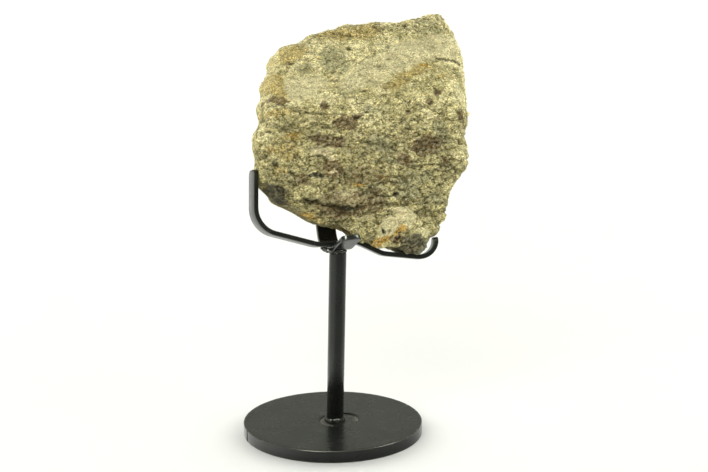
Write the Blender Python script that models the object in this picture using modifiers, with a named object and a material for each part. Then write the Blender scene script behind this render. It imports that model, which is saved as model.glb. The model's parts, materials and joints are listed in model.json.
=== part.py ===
"""Fossil frill section leaning in a black steel display stand.

Metres, +Z up. The origin is the centre of the base disc's underside. +X is the stand's right and
-Y its front. The four cradle straps lie flat in a frame of their own, the cradle frame, whose
origin is on top of the post and which leans back about X. The fossil is shaped in that same frame.
"""

import math
from typing import NamedTuple

import bmesh
import bpy
from mathutils import Matrix, Vector, noise

# Clearance that touching pieces keep.
GAP = 0.0003

# Stand: a turned disc, a round post and cradle straps of flat bar.
DISC_RADIUS = 0.0508
DISC_THICKNESS = 0.0069
DISC_EDGE = 0.0005
DISC_SIDES = 80
POST_RADIUS = 0.00480
POST_SHOULDER = 0.0018
POST_FOOT = Vector((0.0012, -0.0004, DISC_THICKNESS + 1.5 * GAP))
HUB = Vector((0.0034, -0.0012, 0.1058))
CRADLE_LEAN = math.radians(15.0)
STRAP_WIDTH = 0.0110
STRAP_THICKNESS = 0.0026
STRAP_EDGE = 0.0004
TIP_CORNER = 0.0034
STATION = 0.0017
WELD_STEPS = 28
BEAD_POINTS = 5
FOOT_BEAD = (0.0017, 0.0019, 0.25)
HUB_BEAD_INNER = 0.0028
HUB_BEAD = (0.0027, 0.0019, 0.86)
HUB_BEAD_BULGE = 0.0024
HUB_BEAD_SHIFT = 0.0018
HUB_BEAD_SIDE = Vector((-0.9, -0.45, 0.0)).normalized()

# Both arms lie on the spine strap and meet over its middle.
ARM_HEIGHT = STRAP_THICKNESS * 1.5 + GAP

# Left arm: level over the spine, a straight rise, one bend and an upright end.
LEFT_LEVEL = 0.0100
LEFT_EASE_RADIUS = 0.0140
LEFT_RISE = math.radians(18.5)
LEFT_RUN = 0.0229
LEFT_BEND_RADIUS = 0.0145
LEFT_BEND = math.radians(77.0)
LEFT_UPRIGHT = 0.0207

# Right arm: swept to the front, dropping, then curled up at its end.
RIGHT_SWEEP = math.radians(14.0)
RIGHT_LEVEL = 0.0070
RIGHT_DROP_RADIUS = 0.0120
RIGHT_DROP = math.radians(30.0)
RIGHT_FIRST_RUN = 0.0109
RIGHT_EASE = math.radians(19.5)
RIGHT_SECOND_RUN = 0.0177
RIGHT_CURL_RADIUS = 0.0093
RIGHT_CURL = math.radians(102.0)
RIGHT_UPRIGHT = 0.0006

# Spine strap: the front lip and the upright behind the fossil are one bent bar.
LIP_END = 0.0265
LIP_RISE = math.radians(15.0)
LIP_BEND_RADIUS = 0.0150
SPINE_FLAT_FRONT = 0.0060
SPINE_FLAT_BACK = 0.0066
BACK_BEND_RADIUS = 0.0105
BACK_BEND = math.radians(84.0)
BACK_UPRIGHT = 0.0345

# Fossil, in the cradle frame. The outline runs clockwise from the top right corner, as (x, z).
FRONT_FACE = -0.0205
BACK_FACE = 0.0165
FOSSIL_ROUNDING = 0.0048
FOSSIL_CELL = 0.0026
FOSSIL_FACES = 5700
OUTLINE = (
    (0.0768, 0.1300), (0.0782, 0.1184), (0.0806, 0.1120), (0.0872, 0.1010), (0.0862, 0.0915),
    (0.0800, 0.0670), (0.0803, 0.0520), (0.0772, 0.0418), (0.0736, 0.0354), (0.0667, 0.0311),
    (0.0631, 0.0252), (0.0614, 0.0166), (0.0574, 0.0084), (0.0530, 0.0032), (0.0470, 0.0020),
    (0.0436, -0.0038), (0.0396, -0.0064), (0.0352, -0.0044), (0.0300, -0.0008), (0.0180, -0.0006),
    (0.0130, 0.0032), (0.0116, 0.0074), (0.0050, 0.0122), (-0.0090, 0.0158), (-0.0184, 0.0193),
    (-0.0246, 0.0249), (-0.0314, 0.0279), (-0.0372, 0.0320), (-0.0396, 0.0384), (-0.0426, 0.0465),
    (-0.0430, 0.0540), (-0.0446, 0.0596), (-0.0428, 0.0652), (-0.0376, 0.0706), (-0.0388, 0.0760),
    (-0.0388, 0.0815), (-0.0358, 0.0866), (-0.0371, 0.0928), (-0.0320, 0.0966), (-0.0311, 0.1041),
    (-0.0288, 0.1110), (-0.0252, 0.1121), (-0.0148, 0.1158), (-0.0078, 0.1196), (0.0013, 0.1220),
    (0.0142, 0.1245), (0.0260, 0.1261), (0.0383, 0.1258), (0.0470, 0.1258), (0.0577, 0.1283),
)


class Lump(NamedTuple):
    """A rounded rise, or with a height below zero a hollow, on the fossil's front face."""

    x: float
    z: float
    reach_x: float
    reach_z: float
    height: float


class Ledge(NamedTuple):
    """A step across the front face: the side above the line stands out over the side below."""

    start: tuple
    end: tuple
    height: float
    reach: float


class Swell(NamedTuple):
    """A soft push on the blank round a point, such as where the fossil meets a strap."""

    centre: tuple
    reach: float
    push: tuple


class Facet(NamedTuple):
    """A plane that the fossil broke along: what lies beyond it is pressed back towards it."""

    point: tuple
    normal: tuple
    share: float


LUMPS = (
    Lump(0.012, 0.060, 0.034, 0.024, 0.0022),
    Lump(-0.016, 0.088, 0.013, 0.009, 0.0012),
    Lump(0.050, 0.098, 0.024, 0.010, 0.0016),
    Lump(0.000, 0.102, 0.008, 0.009, -0.0012),
    Lump(0.003, 0.029, 0.0065, 0.0048, 0.0026),
    Lump(0.022, 0.022, 0.007, 0.007, -0.0020),
    Lump(0.030, 0.010, 0.011, 0.008, 0.0034),
    Lump(0.036, 0.020, 0.006, 0.005, -0.0012),
    Lump(0.041, -0.002, 0.008, 0.006, 0.0012),
    Lump(0.058, 0.024, 0.008, 0.010, 0.0012),
    Lump(0.049, 0.054, 0.009, 0.005, -0.0014),
    Lump(-0.002, 0.062, 0.005, 0.005, -0.0014),
    Lump(-0.018, 0.049, 0.006, 0.006, -0.0014),
    Lump(-0.034, 0.067, 0.008, 0.007, 0.0014),
    Lump(0.072, 0.066, 0.009, 0.014, -0.0012),
)
LEDGES = (
    Ledge((-0.044, 0.0805), (-0.018, 0.0765), 0.0022, 0.007),
    Ledge((-0.014, 0.0755), (0.008, 0.0730), 0.0012, 0.005),
    Ledge((-0.014, 0.0705), (0.003, 0.0630), 0.0012, 0.005),
    Ledge((-0.024, 0.0300), (0.008, 0.0228), 0.0036, 0.006),
    Ledge((0.034, 0.0460), (0.055, 0.0432), 0.0020, 0.006),
    Ledge((0.014, 0.1010), (0.026, 0.1075), 0.0012, 0.005),
    Ledge((0.062, 0.1045), (0.078, 0.0970), 0.0016, 0.005),
)
FACETS = (
    Facet((-0.0365, -0.0165, 0.075), (-0.80, -0.60, 0.05), 0.8),
    Facet((0.0780, -0.0150, 0.070), (0.72, -0.69, 0.05), 0.8),
    Facet((0.0400, -0.0110, 0.120), (0.05, -0.80, 0.60), 0.7),
    Facet((0.0250, 0.0150, 0.112), (-0.10, 0.86, 0.50), 0.9),
    Facet((-0.0200, 0.0140, 0.085), (-0.52, 0.85, 0.10), 0.9),
    Facet((0.0620, 0.0145, 0.060), (0.58, 0.81, -0.05), 0.9),
    Facet((0.0300, 0.0120, 0.004), (0.05, 0.62, -0.78), 0.9),
    Facet((-0.0340, 0.0130, 0.033), (-0.60, 0.60, -0.52), 0.9),
)
SWELLS = (
    Swell((-0.0430, -0.0010, 0.0460), 0.0090, (-0.0016, 0.0, 0.0)),
    Swell((0.0050, -0.0165, 0.0100), 0.0075, (0.0, -0.0020, -0.0095)),
)
BROW_HEIGHT = 0.084
BROW_SLOPE = 0.13
# The lower front falls back under a line that drops from the left edge to the middle.
SKIRT_START = Vector((-0.045, 0.0400))
SKIRT_END = Vector((0.012, 0.0230))
SKIRT_SLOPE = 0.62
BACK_TAPER = 0.09
# The sides turn in behind the first depth on the left, and before the second on the right.
SIDE_TURN = 0.40
LEFT_TURN_DEPTH = 0.0024
RIGHT_TURN_DEPTH = -0.0112
ROUGHNESS = ((0.0160, 0.0019), (0.0075, 0.0011), (0.0042, 0.0005))
SEED_STEP = 17.3


def clear_scene():
    """Remove every object that is already in the scene."""
    for item in list(bpy.data.objects):
        bpy.data.objects.remove(item, do_unlink=True)


def new_collection(name):
    """Make a collection in the scene."""
    collection = bpy.data.collections.new(name)
    bpy.context.scene.collection.children.link(collection)
    return collection


def new_material(name, colour, roughness, metallic):
    """Make a plain Principled material."""
    material = bpy.data.materials.new(name)
    material.use_nodes = True
    shader = material.node_tree.nodes["Principled BSDF"]
    shader.inputs["Base Color"].default_value = (*colour, 1.0)
    shader.inputs["Roughness"].default_value = roughness
    shader.inputs["Metallic"].default_value = metallic
    material.diffuse_color = (*colour, 1.0)
    return material


def place(item, name, collection, material=None):
    """Name an object, move it to a collection and give it its material."""
    item.name = name
    item.data.name = name
    for owner in list(item.users_collection):
        owner.objects.unlink(item)
    collection.objects.link(item)
    if material:
        item.data.materials.clear()
        item.data.materials.append(material)
    return item


def as_cutter(item):
    """Show a cutter as wire, and keep it out of the build."""
    item.hide_render = True
    item.display_type = "WIRE"
    return item


def cradle_matrix():
    """The cradle frame: on top of the post, leaning back about X."""
    return Matrix.Translation(HUB) @ Matrix.Rotation(-CRADLE_LEAN, 4, "X")


def bevel(item, width, segments=2):
    """Round the sharp edges of an object."""
    modifier = item.modifiers.new("Rounded edges", "BEVEL")
    modifier.width = width
    modifier.segments = segments
    modifier.limit_method = "ANGLE"
    modifier.angle_limit = math.radians(40.0)
    return modifier


def cut(item, cutter):
    """Take a cutter's shape out of an object."""
    modifier = item.modifiers.new("Cut " + cutter.name, "BOOLEAN")
    modifier.operation = "DIFFERENCE"
    modifier.solver = "EXACT"
    modifier.object = cutter
    return modifier


def smooth_step(value, low, high):
    """Ease from 0 at low to 1 at high."""
    share = min(max((value - low) / (high - low), 0.0), 1.0)
    return share * share * (3.0 - 2.0 * share)


def base_disc(collection, steel):
    """The round foot plate."""
    bpy.ops.mesh.primitive_cylinder_add(
        vertices=DISC_SIDES, radius=DISC_RADIUS, depth=DISC_THICKNESS, location=(0, 0, DISC_THICKNESS / 2)
    )
    disc = place(bpy.context.object, "base_disc", collection, steel)
    disc.data.shade_smooth()
    disc.data.set_sharp_from_angle(angle=math.radians(30.0))
    bevel(disc, DISC_EDGE, segments=1)
    return disc


def post_direction():
    """The way the post points: it leans a little to the right."""
    return (HUB - POST_FOOT).normalized()


def rod(name, radius, length, collection):
    """A round bar that stands on the post's foot, along the post's own axis."""
    turn = post_direction().to_track_quat("Z", "Y")
    bpy.ops.mesh.primitive_cylinder_add(
        vertices=40,
        radius=radius,
        depth=length,
        location=POST_FOOT + post_direction() * length / 2,
        rotation=turn.to_euler(),
    )
    item = place(bpy.context.object, name, collection)
    item.data.shade_smooth()
    item.data.set_sharp_from_angle(angle=math.radians(30.0))
    return item


def post(collection, cutters, steel):
    """The round post, its top cut to the slope of the straps that lie on it, its ends rounded."""
    reach = (HUB - POST_FOOT).length
    item = rod("post", POST_RADIUS, reach + POST_RADIUS, collection)
    item.data.materials.append(steel)
    size = 6 * POST_RADIUS
    bpy.ops.mesh.primitive_cube_add(size=size)
    block = as_cutter(place(bpy.context.object, "post_top_cut", cutters))
    block.matrix_world = cradle_matrix() @ Matrix.Translation((0, 0, size / 2 - GAP))
    cut(item, block)
    bevel(item, POST_SHOULDER)
    return item


def turned_bead(name, profile, collection, material):
    """Turn a closed (radius, height) profile into a ring."""
    mesh = bpy.data.meshes.new(name)
    shape = bmesh.new()
    points = [shape.verts.new((radius, 0.0, height)) for radius, height in profile]
    for first, second in zip(points, points[1:] + points[:1]):
        shape.edges.new((first, second))
    shape.to_mesh(mesh)
    shape.free()
    item = bpy.data.objects.new(name, mesh)
    bpy.context.scene.collection.objects.link(item)
    place(item, name, collection, material)
    turn = item.modifiers.new("Turn", "SCREW")
    turn.steps = WELD_STEPS
    turn.render_steps = WELD_STEPS
    turn.use_merge_vertices = True
    turn.merge_threshold = 0.00001
    turn.use_normal_calculate = True
    return item


def bake(item):
    """Turn an object's modifiers into its own mesh."""
    evaluated = item.evaluated_get(bpy.context.evaluated_depsgraph_get())
    mesh = bpy.data.meshes.new_from_object(evaluated)
    item.modifiers.clear()
    item.data = mesh
    mesh.name = item.name
    return item


def fillet_profile(inner, width, height, crest):
    """A hollow-sided bead's profile as (radius, height), standing on its wide end.

    Crest is the share of the width that is left at the top.
    """
    points = [(inner, height)]
    for step in range(BEAD_POINTS):
        angle = math.pi / 2 * (1.0 - step / (BEAD_POINTS - 1))
        radius = inner + width * (1.0 - (1.0 - crest) * math.sin(angle))
        points.append((radius, height * (1.0 - 0.9 * math.cos(angle))))
    points += [(inner + width, 0.0), (inner, 0.0)]
    return points


def rough_bead(item, amount, side=Vector((0, 0, 0)), bulge=0.0):
    """Make a turned bead uneven round its outside, with a bulge towards one side."""
    for vertex in item.data.vertices:
        flat = Vector((vertex.co.x, vertex.co.y, 0.0))
        outward = flat.normalized()
        proud = max(flat.length - POST_RADIUS - 3 * GAP, 0.0) / 0.003
        lobe = max(outward.dot(side), 0.0) ** 3
        ripple = noise.noise(Vector((outward.x * 2.6, outward.y * 2.6, item.data.vertices[0].co.z)))
        vertex.co += outward * min(proud, 1.0) * (amount * ripple + bulge * lobe)
    item.data.shade_smooth()
    item.data.set_sharp_from_angle(angle=math.radians(60.0))


def foot_weld(collection, steel):
    """The weld bead where the post meets the disc."""
    profile = fillet_profile(POST_RADIUS + 1.4 * GAP, *FOOT_BEAD)
    item = bake(turned_bead("foot_weld", profile, collection, steel))
    rough_bead(item, 0.0011)
    item.location = (POST_FOOT.x, POST_FOOT.y, DISC_THICKNESS + GAP)
    return item


def hub_weld(collection, cutters, steel):
    """The weld under the cradle, on the left side of the top of the post."""
    profile = fillet_profile(HUB_BEAD_INNER, *HUB_BEAD)
    item = bake(turned_bead("hub_weld", profile, collection, steel))
    rough_bead(item, 0.0005, HUB_BEAD_SIDE, HUB_BEAD_BULGE)
    for vertex in item.data.vertices:
        vertex.co += HUB_BEAD_SIDE * HUB_BEAD_SHIFT
        vertex.co.z = -vertex.co.z - GAP
    item.data.flip_normals()
    item.matrix_world = cradle_matrix()
    clearance = rod("post_clearance", POST_RADIUS + GAP, (HUB - POST_FOOT).length + 0.01, cutters)
    cut(item, as_cutter(clearance))
    return item


class Path:
    """A strap's centre line, walked in straight runs and bends like a bar in a bending jig."""

    def __init__(self, start, heading):
        """Start at an (along, height) point; the heading is measured up from level."""
        self.points = [Vector(start)]
        self.heading = heading

    def run(self, length):
        """Go straight on."""
        steps = max(1, round(length / (2 * STATION)))
        for _ in range(steps):
            self._step(length / steps)
        return self

    def bend(self, radius, angle):
        """Turn upwards, or downwards for an angle below zero, at a radius."""
        steps = max(2, round(radius * abs(angle) / STATION))
        turn = angle / steps
        for _ in range(steps):
            self.heading += turn / 2
            self._step(2 * radius * abs(math.sin(turn / 2)))
            self.heading += turn / 2
        return self

    def _step(self, length):
        way = Vector((math.cos(self.heading), math.sin(self.heading)))
        self.points.append(self.points[-1] + way * length)


def strap(name, path, collection, material=None, yaw=0.0, spare=0.0, square_start=True, mitre=0.0):
    """A bent flat bar with rounded corners at its free ends.

    The bar is a strip along the path, given its thickness by Solidify. Yaw turns it in the cradle
    frame, spare makes it larger all round for a cutter, and mitre slants its first end.
    """
    points = path.run(spare).points if spare else path.points
    reach = [0.0]
    for first, second in zip(points, points[1:]):
        reach.append(reach[-1] + (second - first).length)
    total = reach[-1]
    half = STRAP_WIDTH / 2
    ends = [share * TIP_CORNER for share in (0.0, 0.10, 0.3, 0.6)]
    stations = sorted({round(s, 6) for s in reach if s < total - TIP_CORNER} | {total - d for d in ends})
    if not square_start:
        stations = sorted({s for s in stations if s > TIP_CORNER} | set(ends))
    shape = bmesh.new()
    rows = []
    for station in stations:
        spot, up = _along(points, reach, station)
        to_end = total - station if square_start else min(total - station, station)
        width = half - TIP_CORNER + math.sqrt(TIP_CORNER**2 - max(TIP_CORNER - to_end, 0.0) ** 2)
        row = []
        for share in (-1.0, -0.5, 0.0, 0.5, 1.0):
            across = share * (width + spare)
            skew = mitre * across * max(0.0, 1.0 - station / 0.006)
            row.append(shape.verts.new((spot.x + skew, across, spot.y)))
        rows.append(row)
    for first, second in zip(rows, rows[1:]):
        for index in range(len(first) - 1):
            shape.faces.new((first[index], second[index], second[index + 1], first[index + 1]))
    mesh = bpy.data.meshes.new(name)
    shape.to_mesh(mesh)
    shape.free()
    item = bpy.data.objects.new(name, mesh)
    bpy.context.scene.collection.objects.link(item)
    place(item, name, collection, material)
    thick = item.modifiers.new("Thickness", "SOLIDIFY")
    thick.thickness = STRAP_THICKNESS + 2 * spare
    thick.offset = 0.0
    if not spare:
        bevel(item, STRAP_EDGE)
    item.matrix_world = cradle_matrix() @ Matrix.Rotation(yaw, 4, "Z")
    return item


def _along(points, reach, station):
    """The point at a distance along a polyline, and the segment's direction."""
    for index in range(len(points) - 1):
        if station <= reach[index + 1] + 1e-9:
            share = (station - reach[index]) / (reach[index + 1] - reach[index])
            way = points[index + 1] - points[index]
            return points[index] + way * share, way
    return points[-1], points[-1] - points[-2]


def left_path():
    """The left arm from the middle of the spine outwards."""
    path = Path((GAP / 2, ARM_HEIGHT), 0.0).run(LEFT_LEVEL).bend(LEFT_EASE_RADIUS, LEFT_RISE)
    return path.run(LEFT_RUN).bend(LEFT_BEND_RADIUS, LEFT_BEND).run(LEFT_UPRIGHT)


def right_path():
    """The right arm from the middle of the spine outwards."""
    path = Path((GAP / 2, ARM_HEIGHT), 0.0).run(RIGHT_LEVEL).bend(RIGHT_DROP_RADIUS, -RIGHT_DROP)
    path.run(RIGHT_FIRST_RUN).bend(RIGHT_DROP_RADIUS, RIGHT_EASE).run(RIGHT_SECOND_RUN)
    return path.bend(RIGHT_CURL_RADIUS, RIGHT_CURL).run(RIGHT_UPRIGHT)


def spine_path():
    """The spine strap from the lip's end back to the top of the upright behind the fossil."""
    lip = LIP_END - SPINE_FLAT_FRONT - LIP_BEND_RADIUS * math.sin(LIP_RISE)
    rise = lip * math.tan(LIP_RISE) + LIP_BEND_RADIUS * (1 - math.cos(LIP_RISE))
    path = Path((-LIP_END, STRAP_THICKNESS / 2 + rise), -LIP_RISE)
    path.run(lip / math.cos(LIP_RISE)).bend(LIP_BEND_RADIUS, LIP_RISE)
    path.run(SPINE_FLAT_FRONT + SPINE_FLAT_BACK).bend(BACK_BEND_RADIUS, BACK_BEND)
    return path.run(BACK_UPRIGHT)


STRAPS = {
    "left_arm": (left_path, math.pi, True, 0.0),
    "right_arm": (right_path, -RIGHT_SWEEP, True, -math.tan(RIGHT_SWEEP)),
    "spine_strap": (spine_path, math.pi / 2, False, 0.0),
}


def outline_slab(collection):
    """The fossil's outline as a slab with round edges, in the cradle frame."""
    curve = bpy.data.curves.new("fossil_blank", "CURVE")
    curve.dimensions = "2D"
    curve.fill_mode = "BOTH"
    spline = curve.splines.new("POLY")
    spline.points.add(len(OUTLINE) - 1)
    for point, (x, z) in zip(spline.points, OUTLINE):
        point.co = (x, z, 0.0, 1.0)
    spline.use_cyclic_u = True
    curve.extrude = (BACK_FACE - FRONT_FACE) / 2 - FOSSIL_ROUNDING
    curve.bevel_depth = FOSSIL_ROUNDING
    curve.bevel_resolution = 3
    curve.offset = -FOSSIL_ROUNDING
    blank = bpy.data.objects.new("fossil_blank", curve)
    collection.objects.link(blank)
    blank.matrix_world = Matrix.Translation((0, (FRONT_FACE + BACK_FACE) / 2, 0)) @ Matrix.Rotation(
        math.pi / 2, 4, "X"
    )
    mesh = bpy.data.meshes.new_from_object(blank.evaluated_get(bpy.context.evaluated_depsgraph_get()))
    mesh.transform(blank.matrix_world)
    bpy.data.objects.remove(blank, do_unlink=True)
    shape = bmesh.new()
    shape.from_mesh(mesh)
    bmesh.ops.remove_doubles(shape, verts=shape.verts, dist=0.00001)
    bmesh.ops.recalc_face_normals(shape, faces=shape.faces)
    shape.to_mesh(mesh)
    shape.free()
    return mesh


def lump_rise(x, z):
    """How far the named lumps and hollows lift the front face at a point."""
    rise = 0.0
    for lump in LUMPS:
        far = ((x - lump.x) / lump.reach_x) ** 2 + ((z - lump.z) / lump.reach_z) ** 2
        rise += lump.height * math.exp(-far)
    return rise


def ledge_rise(x, z):
    """How far the ledges lift the front face above their lines and sink it below them."""
    rise = 0.0
    for ledge in LEDGES:
        start = Vector(ledge.start)
        way = Vector(ledge.end) - start
        offset = Vector((x, z)) - start
        share = offset.dot(way) / way.length_squared
        inside = smooth_step(share, -0.15, 0.1) * (1.0 - smooth_step(share, 0.9, 1.15))
        above = (way.x * offset.y - way.y * offset.x) / way.length
        fade = math.exp(-abs(above) / ledge.reach)
        step = smooth_step(above, -0.0016, 0.0016) - 0.5
        rise += ledge.height * inside * fade * step
    return rise


def skirt_fall(x, z):
    """How far the lower front falls back below its slanting line."""
    way = SKIRT_END - SKIRT_START
    offset = Vector((x, z)) - SKIRT_START
    below = -(way.x * offset.y - way.y * offset.x) / way.length
    return SKIRT_SLOPE * max(below, 0.0) * (1.0 - smooth_step(x, -0.016, 0.014))


def sculpt(mesh):
    """Give the rounded slab the fossil's lean brow, skirt, turned sides, lumps and ledges."""
    middle = (FRONT_FACE + BACK_FACE) / 2
    half = (BACK_FACE - FRONT_FACE) / 2
    centre = sum(x for x, _ in OUTLINE) / len(OUTLINE)
    for vertex in mesh.vertices:
        x, y, z = vertex.co
        depth = (y - middle) / half
        front = smooth_step(-depth, -0.2, 0.9)
        back = smooth_step(depth, -0.1, 0.9)
        fall = BROW_SLOPE * max(z - BROW_HEIGHT, 0.0) + skirt_fall(x, z)
        fall -= lump_rise(x, z) + ledge_rise(x, z)
        lift = BACK_TAPER * max(z - 0.045, 0.0)
        side = SIDE_TURN * smooth_step(abs(x - centre), 0.030, 0.058)
        if x < centre:
            vertex.co.x += side * max(y - LEFT_TURN_DEPTH, 0.0)
        else:
            vertex.co.x -= side * max(RIGHT_TURN_DEPTH - y, 0.0)
        vertex.co.y += front * fall - back * lift
    mesh.update()


def break_facets(mesh):
    """Press the blank back towards each broken plane."""
    for facet in FACETS:
        normal = Vector(facet.normal).normalized()
        point = Vector(facet.point)
        for vertex in mesh.vertices:
            beyond = (vertex.co - point).dot(normal)
            if beyond > 0.0:
                vertex.co -= normal * beyond * facet.share


def push_swells(mesh):
    """Push the surface out softly round each swell."""
    for swell in SWELLS:
        centre = Vector(swell.centre)
        push = Vector(swell.push)
        for vertex in mesh.vertices:
            far = (vertex.co - centre).length / swell.reach
            vertex.co += push * math.exp(-far * far)


def roughen(mesh):
    """Break the surface up with three sizes of seeded noise, along its normals."""
    moves = []
    for vertex in mesh.vertices:
        amount = 0.0
        for index, (size, height) in enumerate(ROUGHNESS):
            shift = Vector((SEED_STEP * index, 0.0, -SEED_STEP * index))
            amount += height * noise.noise(vertex.co / size + shift)
        moves.append(vertex.normal * amount)
    for vertex, move in zip(mesh.vertices, moves):
        vertex.co += move
    mesh.update()


def fossil(collection, cutters, stone):
    """The fossil chunk, trimmed where it rests against the straps."""
    item = bpy.data.objects.new("fossil", outline_slab(cutters))
    bpy.context.scene.collection.objects.link(item)
    place(item, "fossil", collection, stone)
    cells = item.modifiers.new("Cells", "REMESH")
    cells.mode = "VOXEL"
    cells.voxel_size = FOSSIL_CELL
    bake(item)
    item.data.materials.clear()
    item.data.materials.append(stone)
    break_facets(item.data)
    sculpt(item.data)
    push_swells(item.data)
    roughen(item.data)
    fewer = item.modifiers.new("Fewer faces", "DECIMATE")
    fewer.ratio = FOSSIL_FACES / (2 * len(item.data.polygons))
    bake(item)
    item.matrix_world = cradle_matrix()
    for name, (path, yaw, square, mitre) in STRAPS.items():
        around = strap(name + "_clearance", path(), cutters, None, yaw, GAP, square, mitre)
        cut(item, as_cutter(around))
    return item


def main():
    """Build the object."""
    clear_scene()
    collection = new_collection("fossil_frill_section")
    cutters = new_collection("cutters")
    steel = new_material("black_steel", (0.030, 0.032, 0.028), 0.38, 0.0)
    weld = new_material("weld_steel", (0.045, 0.047, 0.043), 0.28, 0.0)
    stone = new_material("fossil_stone", (0.46, 0.40, 0.23), 0.86, 0.0)
    base_disc(collection, steel)
    post(collection, cutters, steel)
    foot_weld(collection, weld)
    hub_weld(collection, cutters, weld)
    for name, (path, yaw, square, mitre) in STRAPS.items():
        strap(name, path(), collection, steel, yaw, 0.0, square, mitre)
    fossil(collection, cutters, stone)


main()
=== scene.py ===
"""Fossil bone section leaning in a black steel cradle on a round foot, in a pale studio.

Metres, +Z up. The origin is the centre of the foot's underside, +X is the stand's right and -Y its
front. The cradle's straps and the fossil are laid out in the cradle frame, which starts on top of
the post and leans back about X. Marks on the fossil are given there in millimetres, as (x, z).
"""

import json
import logging
import math
from contextlib import contextmanager
from dataclasses import dataclass, field
from enum import Enum
from functools import reduce
from typing import Callable, Iterator, NamedTuple, Sequence

import bmesh
import bpy
import numpy as np
from bpy.types import Material, Mesh, Node, NodeTree, Object
from mathutils import Matrix, Vector, noise
from mathutils.kdtree import KDTree

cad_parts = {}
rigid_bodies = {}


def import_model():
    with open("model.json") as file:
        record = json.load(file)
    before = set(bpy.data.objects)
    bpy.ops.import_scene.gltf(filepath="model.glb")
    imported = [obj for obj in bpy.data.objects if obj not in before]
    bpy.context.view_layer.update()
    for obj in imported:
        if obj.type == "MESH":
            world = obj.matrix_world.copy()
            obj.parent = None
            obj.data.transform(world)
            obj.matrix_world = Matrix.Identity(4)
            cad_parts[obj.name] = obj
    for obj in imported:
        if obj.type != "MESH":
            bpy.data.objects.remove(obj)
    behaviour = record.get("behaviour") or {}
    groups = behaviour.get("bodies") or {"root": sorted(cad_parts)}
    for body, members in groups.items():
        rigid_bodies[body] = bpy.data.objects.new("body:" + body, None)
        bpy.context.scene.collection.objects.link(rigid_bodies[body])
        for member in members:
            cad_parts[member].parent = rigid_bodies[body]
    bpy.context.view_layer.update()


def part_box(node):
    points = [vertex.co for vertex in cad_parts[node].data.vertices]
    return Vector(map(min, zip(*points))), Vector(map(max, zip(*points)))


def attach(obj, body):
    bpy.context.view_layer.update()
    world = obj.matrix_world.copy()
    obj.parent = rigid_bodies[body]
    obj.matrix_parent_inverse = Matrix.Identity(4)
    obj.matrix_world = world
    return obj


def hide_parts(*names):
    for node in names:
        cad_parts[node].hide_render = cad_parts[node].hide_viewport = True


LOG = logging.getLogger("display_fossil")
MM = 0.001
TINY = 0.00002
SHARP = math.radians(50.0)

Socket = bpy.types.NodeSocket
Feed = Socket | float | Sequence[float]
Colour = tuple[float, float, float, float]
Pair = tuple[float, float]
Triple = tuple[float, float, float]


class Slot(Enum):
    """The finishes that the record names."""

    STONE = "fossil_stone"
    STEEL = "black_steel"
    WELD = "weld_bead"


class Pick(Enum):
    """What edit mode selects."""

    EDGES = "EDGE"
    FACES = "FACE"


class Mineral(Enum):
    """The families of colour on the fossil, in the order that they are laid on."""

    GREEN = "grey_green"
    OCHRE = "ochre"
    CREAM = "cream"
    RUST = "rust"
    BROWN = "brown"
    DARK = "dark"
    FLAKE = "pale_flake"


def paint(red: int, green: int, blue: int) -> Colour:
    """Turn a screen colour into the linear colour that a shader takes.

    Args:
        red: red, from 0 to 255.
        green: green, from 0 to 255.
        blue: blue, from 0 to 255.

    Returns:
        Linear red, green and blue, and full alpha.
    """
    shares = [value / 255 for value in (red, green, blue)]
    linear = [c / 12.92 if c <= 0.04045 else ((c + 0.055) / 1.055) ** 2.4 for c in shares]
    return (*linear, 1.0)


@dataclass(frozen=True)
class CradleFrame:
    """The frame that the straps and the fossil are laid out in.

    Attributes:
        hub: its origin, on top of the post.
        lean: how far it leans back about X, in radians.
    """

    hub: Triple = (0.0034, -0.0012, 0.1058)
    lean: float = math.radians(15.0)

    def matrix(self) -> Matrix:
        """Return the matrix from the cradle frame to the stand's frame."""
        return Matrix.Translation(self.hub) @ Matrix.Rotation(-self.lean, 4, "X")

    def mapping(self) -> tuple[Vector, Triple]:
        """Return the location and rotation that turn points in mm into cradle points in mm."""
        back = self.matrix().inverted()
        return back.to_translation() / MM, (self.lean, 0.0, 0.0)


CRADLE = CradleFrame()


# ---------------------------------------------------------------- hand tools


def take(name: str) -> Object:
    """Name the object that was just added, and put its place in its mesh.

    Args:
        name: the piece's name.

    Returns:
        The object.
    """
    item = bpy.context.object
    item.name = item.data.name = name
    settle(item)
    return item


def deselect() -> None:
    """Leave nothing selected."""
    for item in bpy.context.view_layer.objects:
        item.select_set(False)


def only(item: Object) -> None:
    """Select one object alone and make it active."""
    deselect()
    item.select_set(True)
    bpy.context.view_layer.objects.active = item


def settle(item: Object) -> None:
    """Put an object's place, turn and size in its mesh."""
    only(item)
    bpy.ops.object.transform_apply(location=True, rotation=True, scale=True)


@contextmanager
def shaping(item: Object) -> Iterator[None]:
    """Hold one object in edit mode, with nothing selected at first."""
    only(item)
    bpy.ops.object.mode_set(mode="EDIT")
    bpy.ops.mesh.select_all(action="DESELECT")
    yield
    bpy.ops.object.mode_set(mode="OBJECT")


def pick(item: Object, kind: Pick, test: Callable[..., bool]) -> None:
    """In edit mode, select the parts of a mesh that pass a test.

    Args:
        item: the object in edit mode.
        kind: edges or faces.
        test: says of each such part whether to select it.
    """
    bpy.ops.mesh.select_mode(type=kind.value)
    bpy.ops.mesh.select_all(action="DESELECT")
    shape = bmesh.from_edit_mesh(item.data)
    parts = shape.edges if kind is Pick.EDGES else shape.faces
    for part in [part for part in parts if test(part)]:
        part.select_set(True)
    bmesh.update_edit_mesh(item.data)


def is_sharp(edge: bmesh.types.BMEdge) -> bool:
    """Say whether an edge's faces meet at more than a sharp edge's angle."""
    return edge.calc_face_angle(0.0) > SHARP


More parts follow.
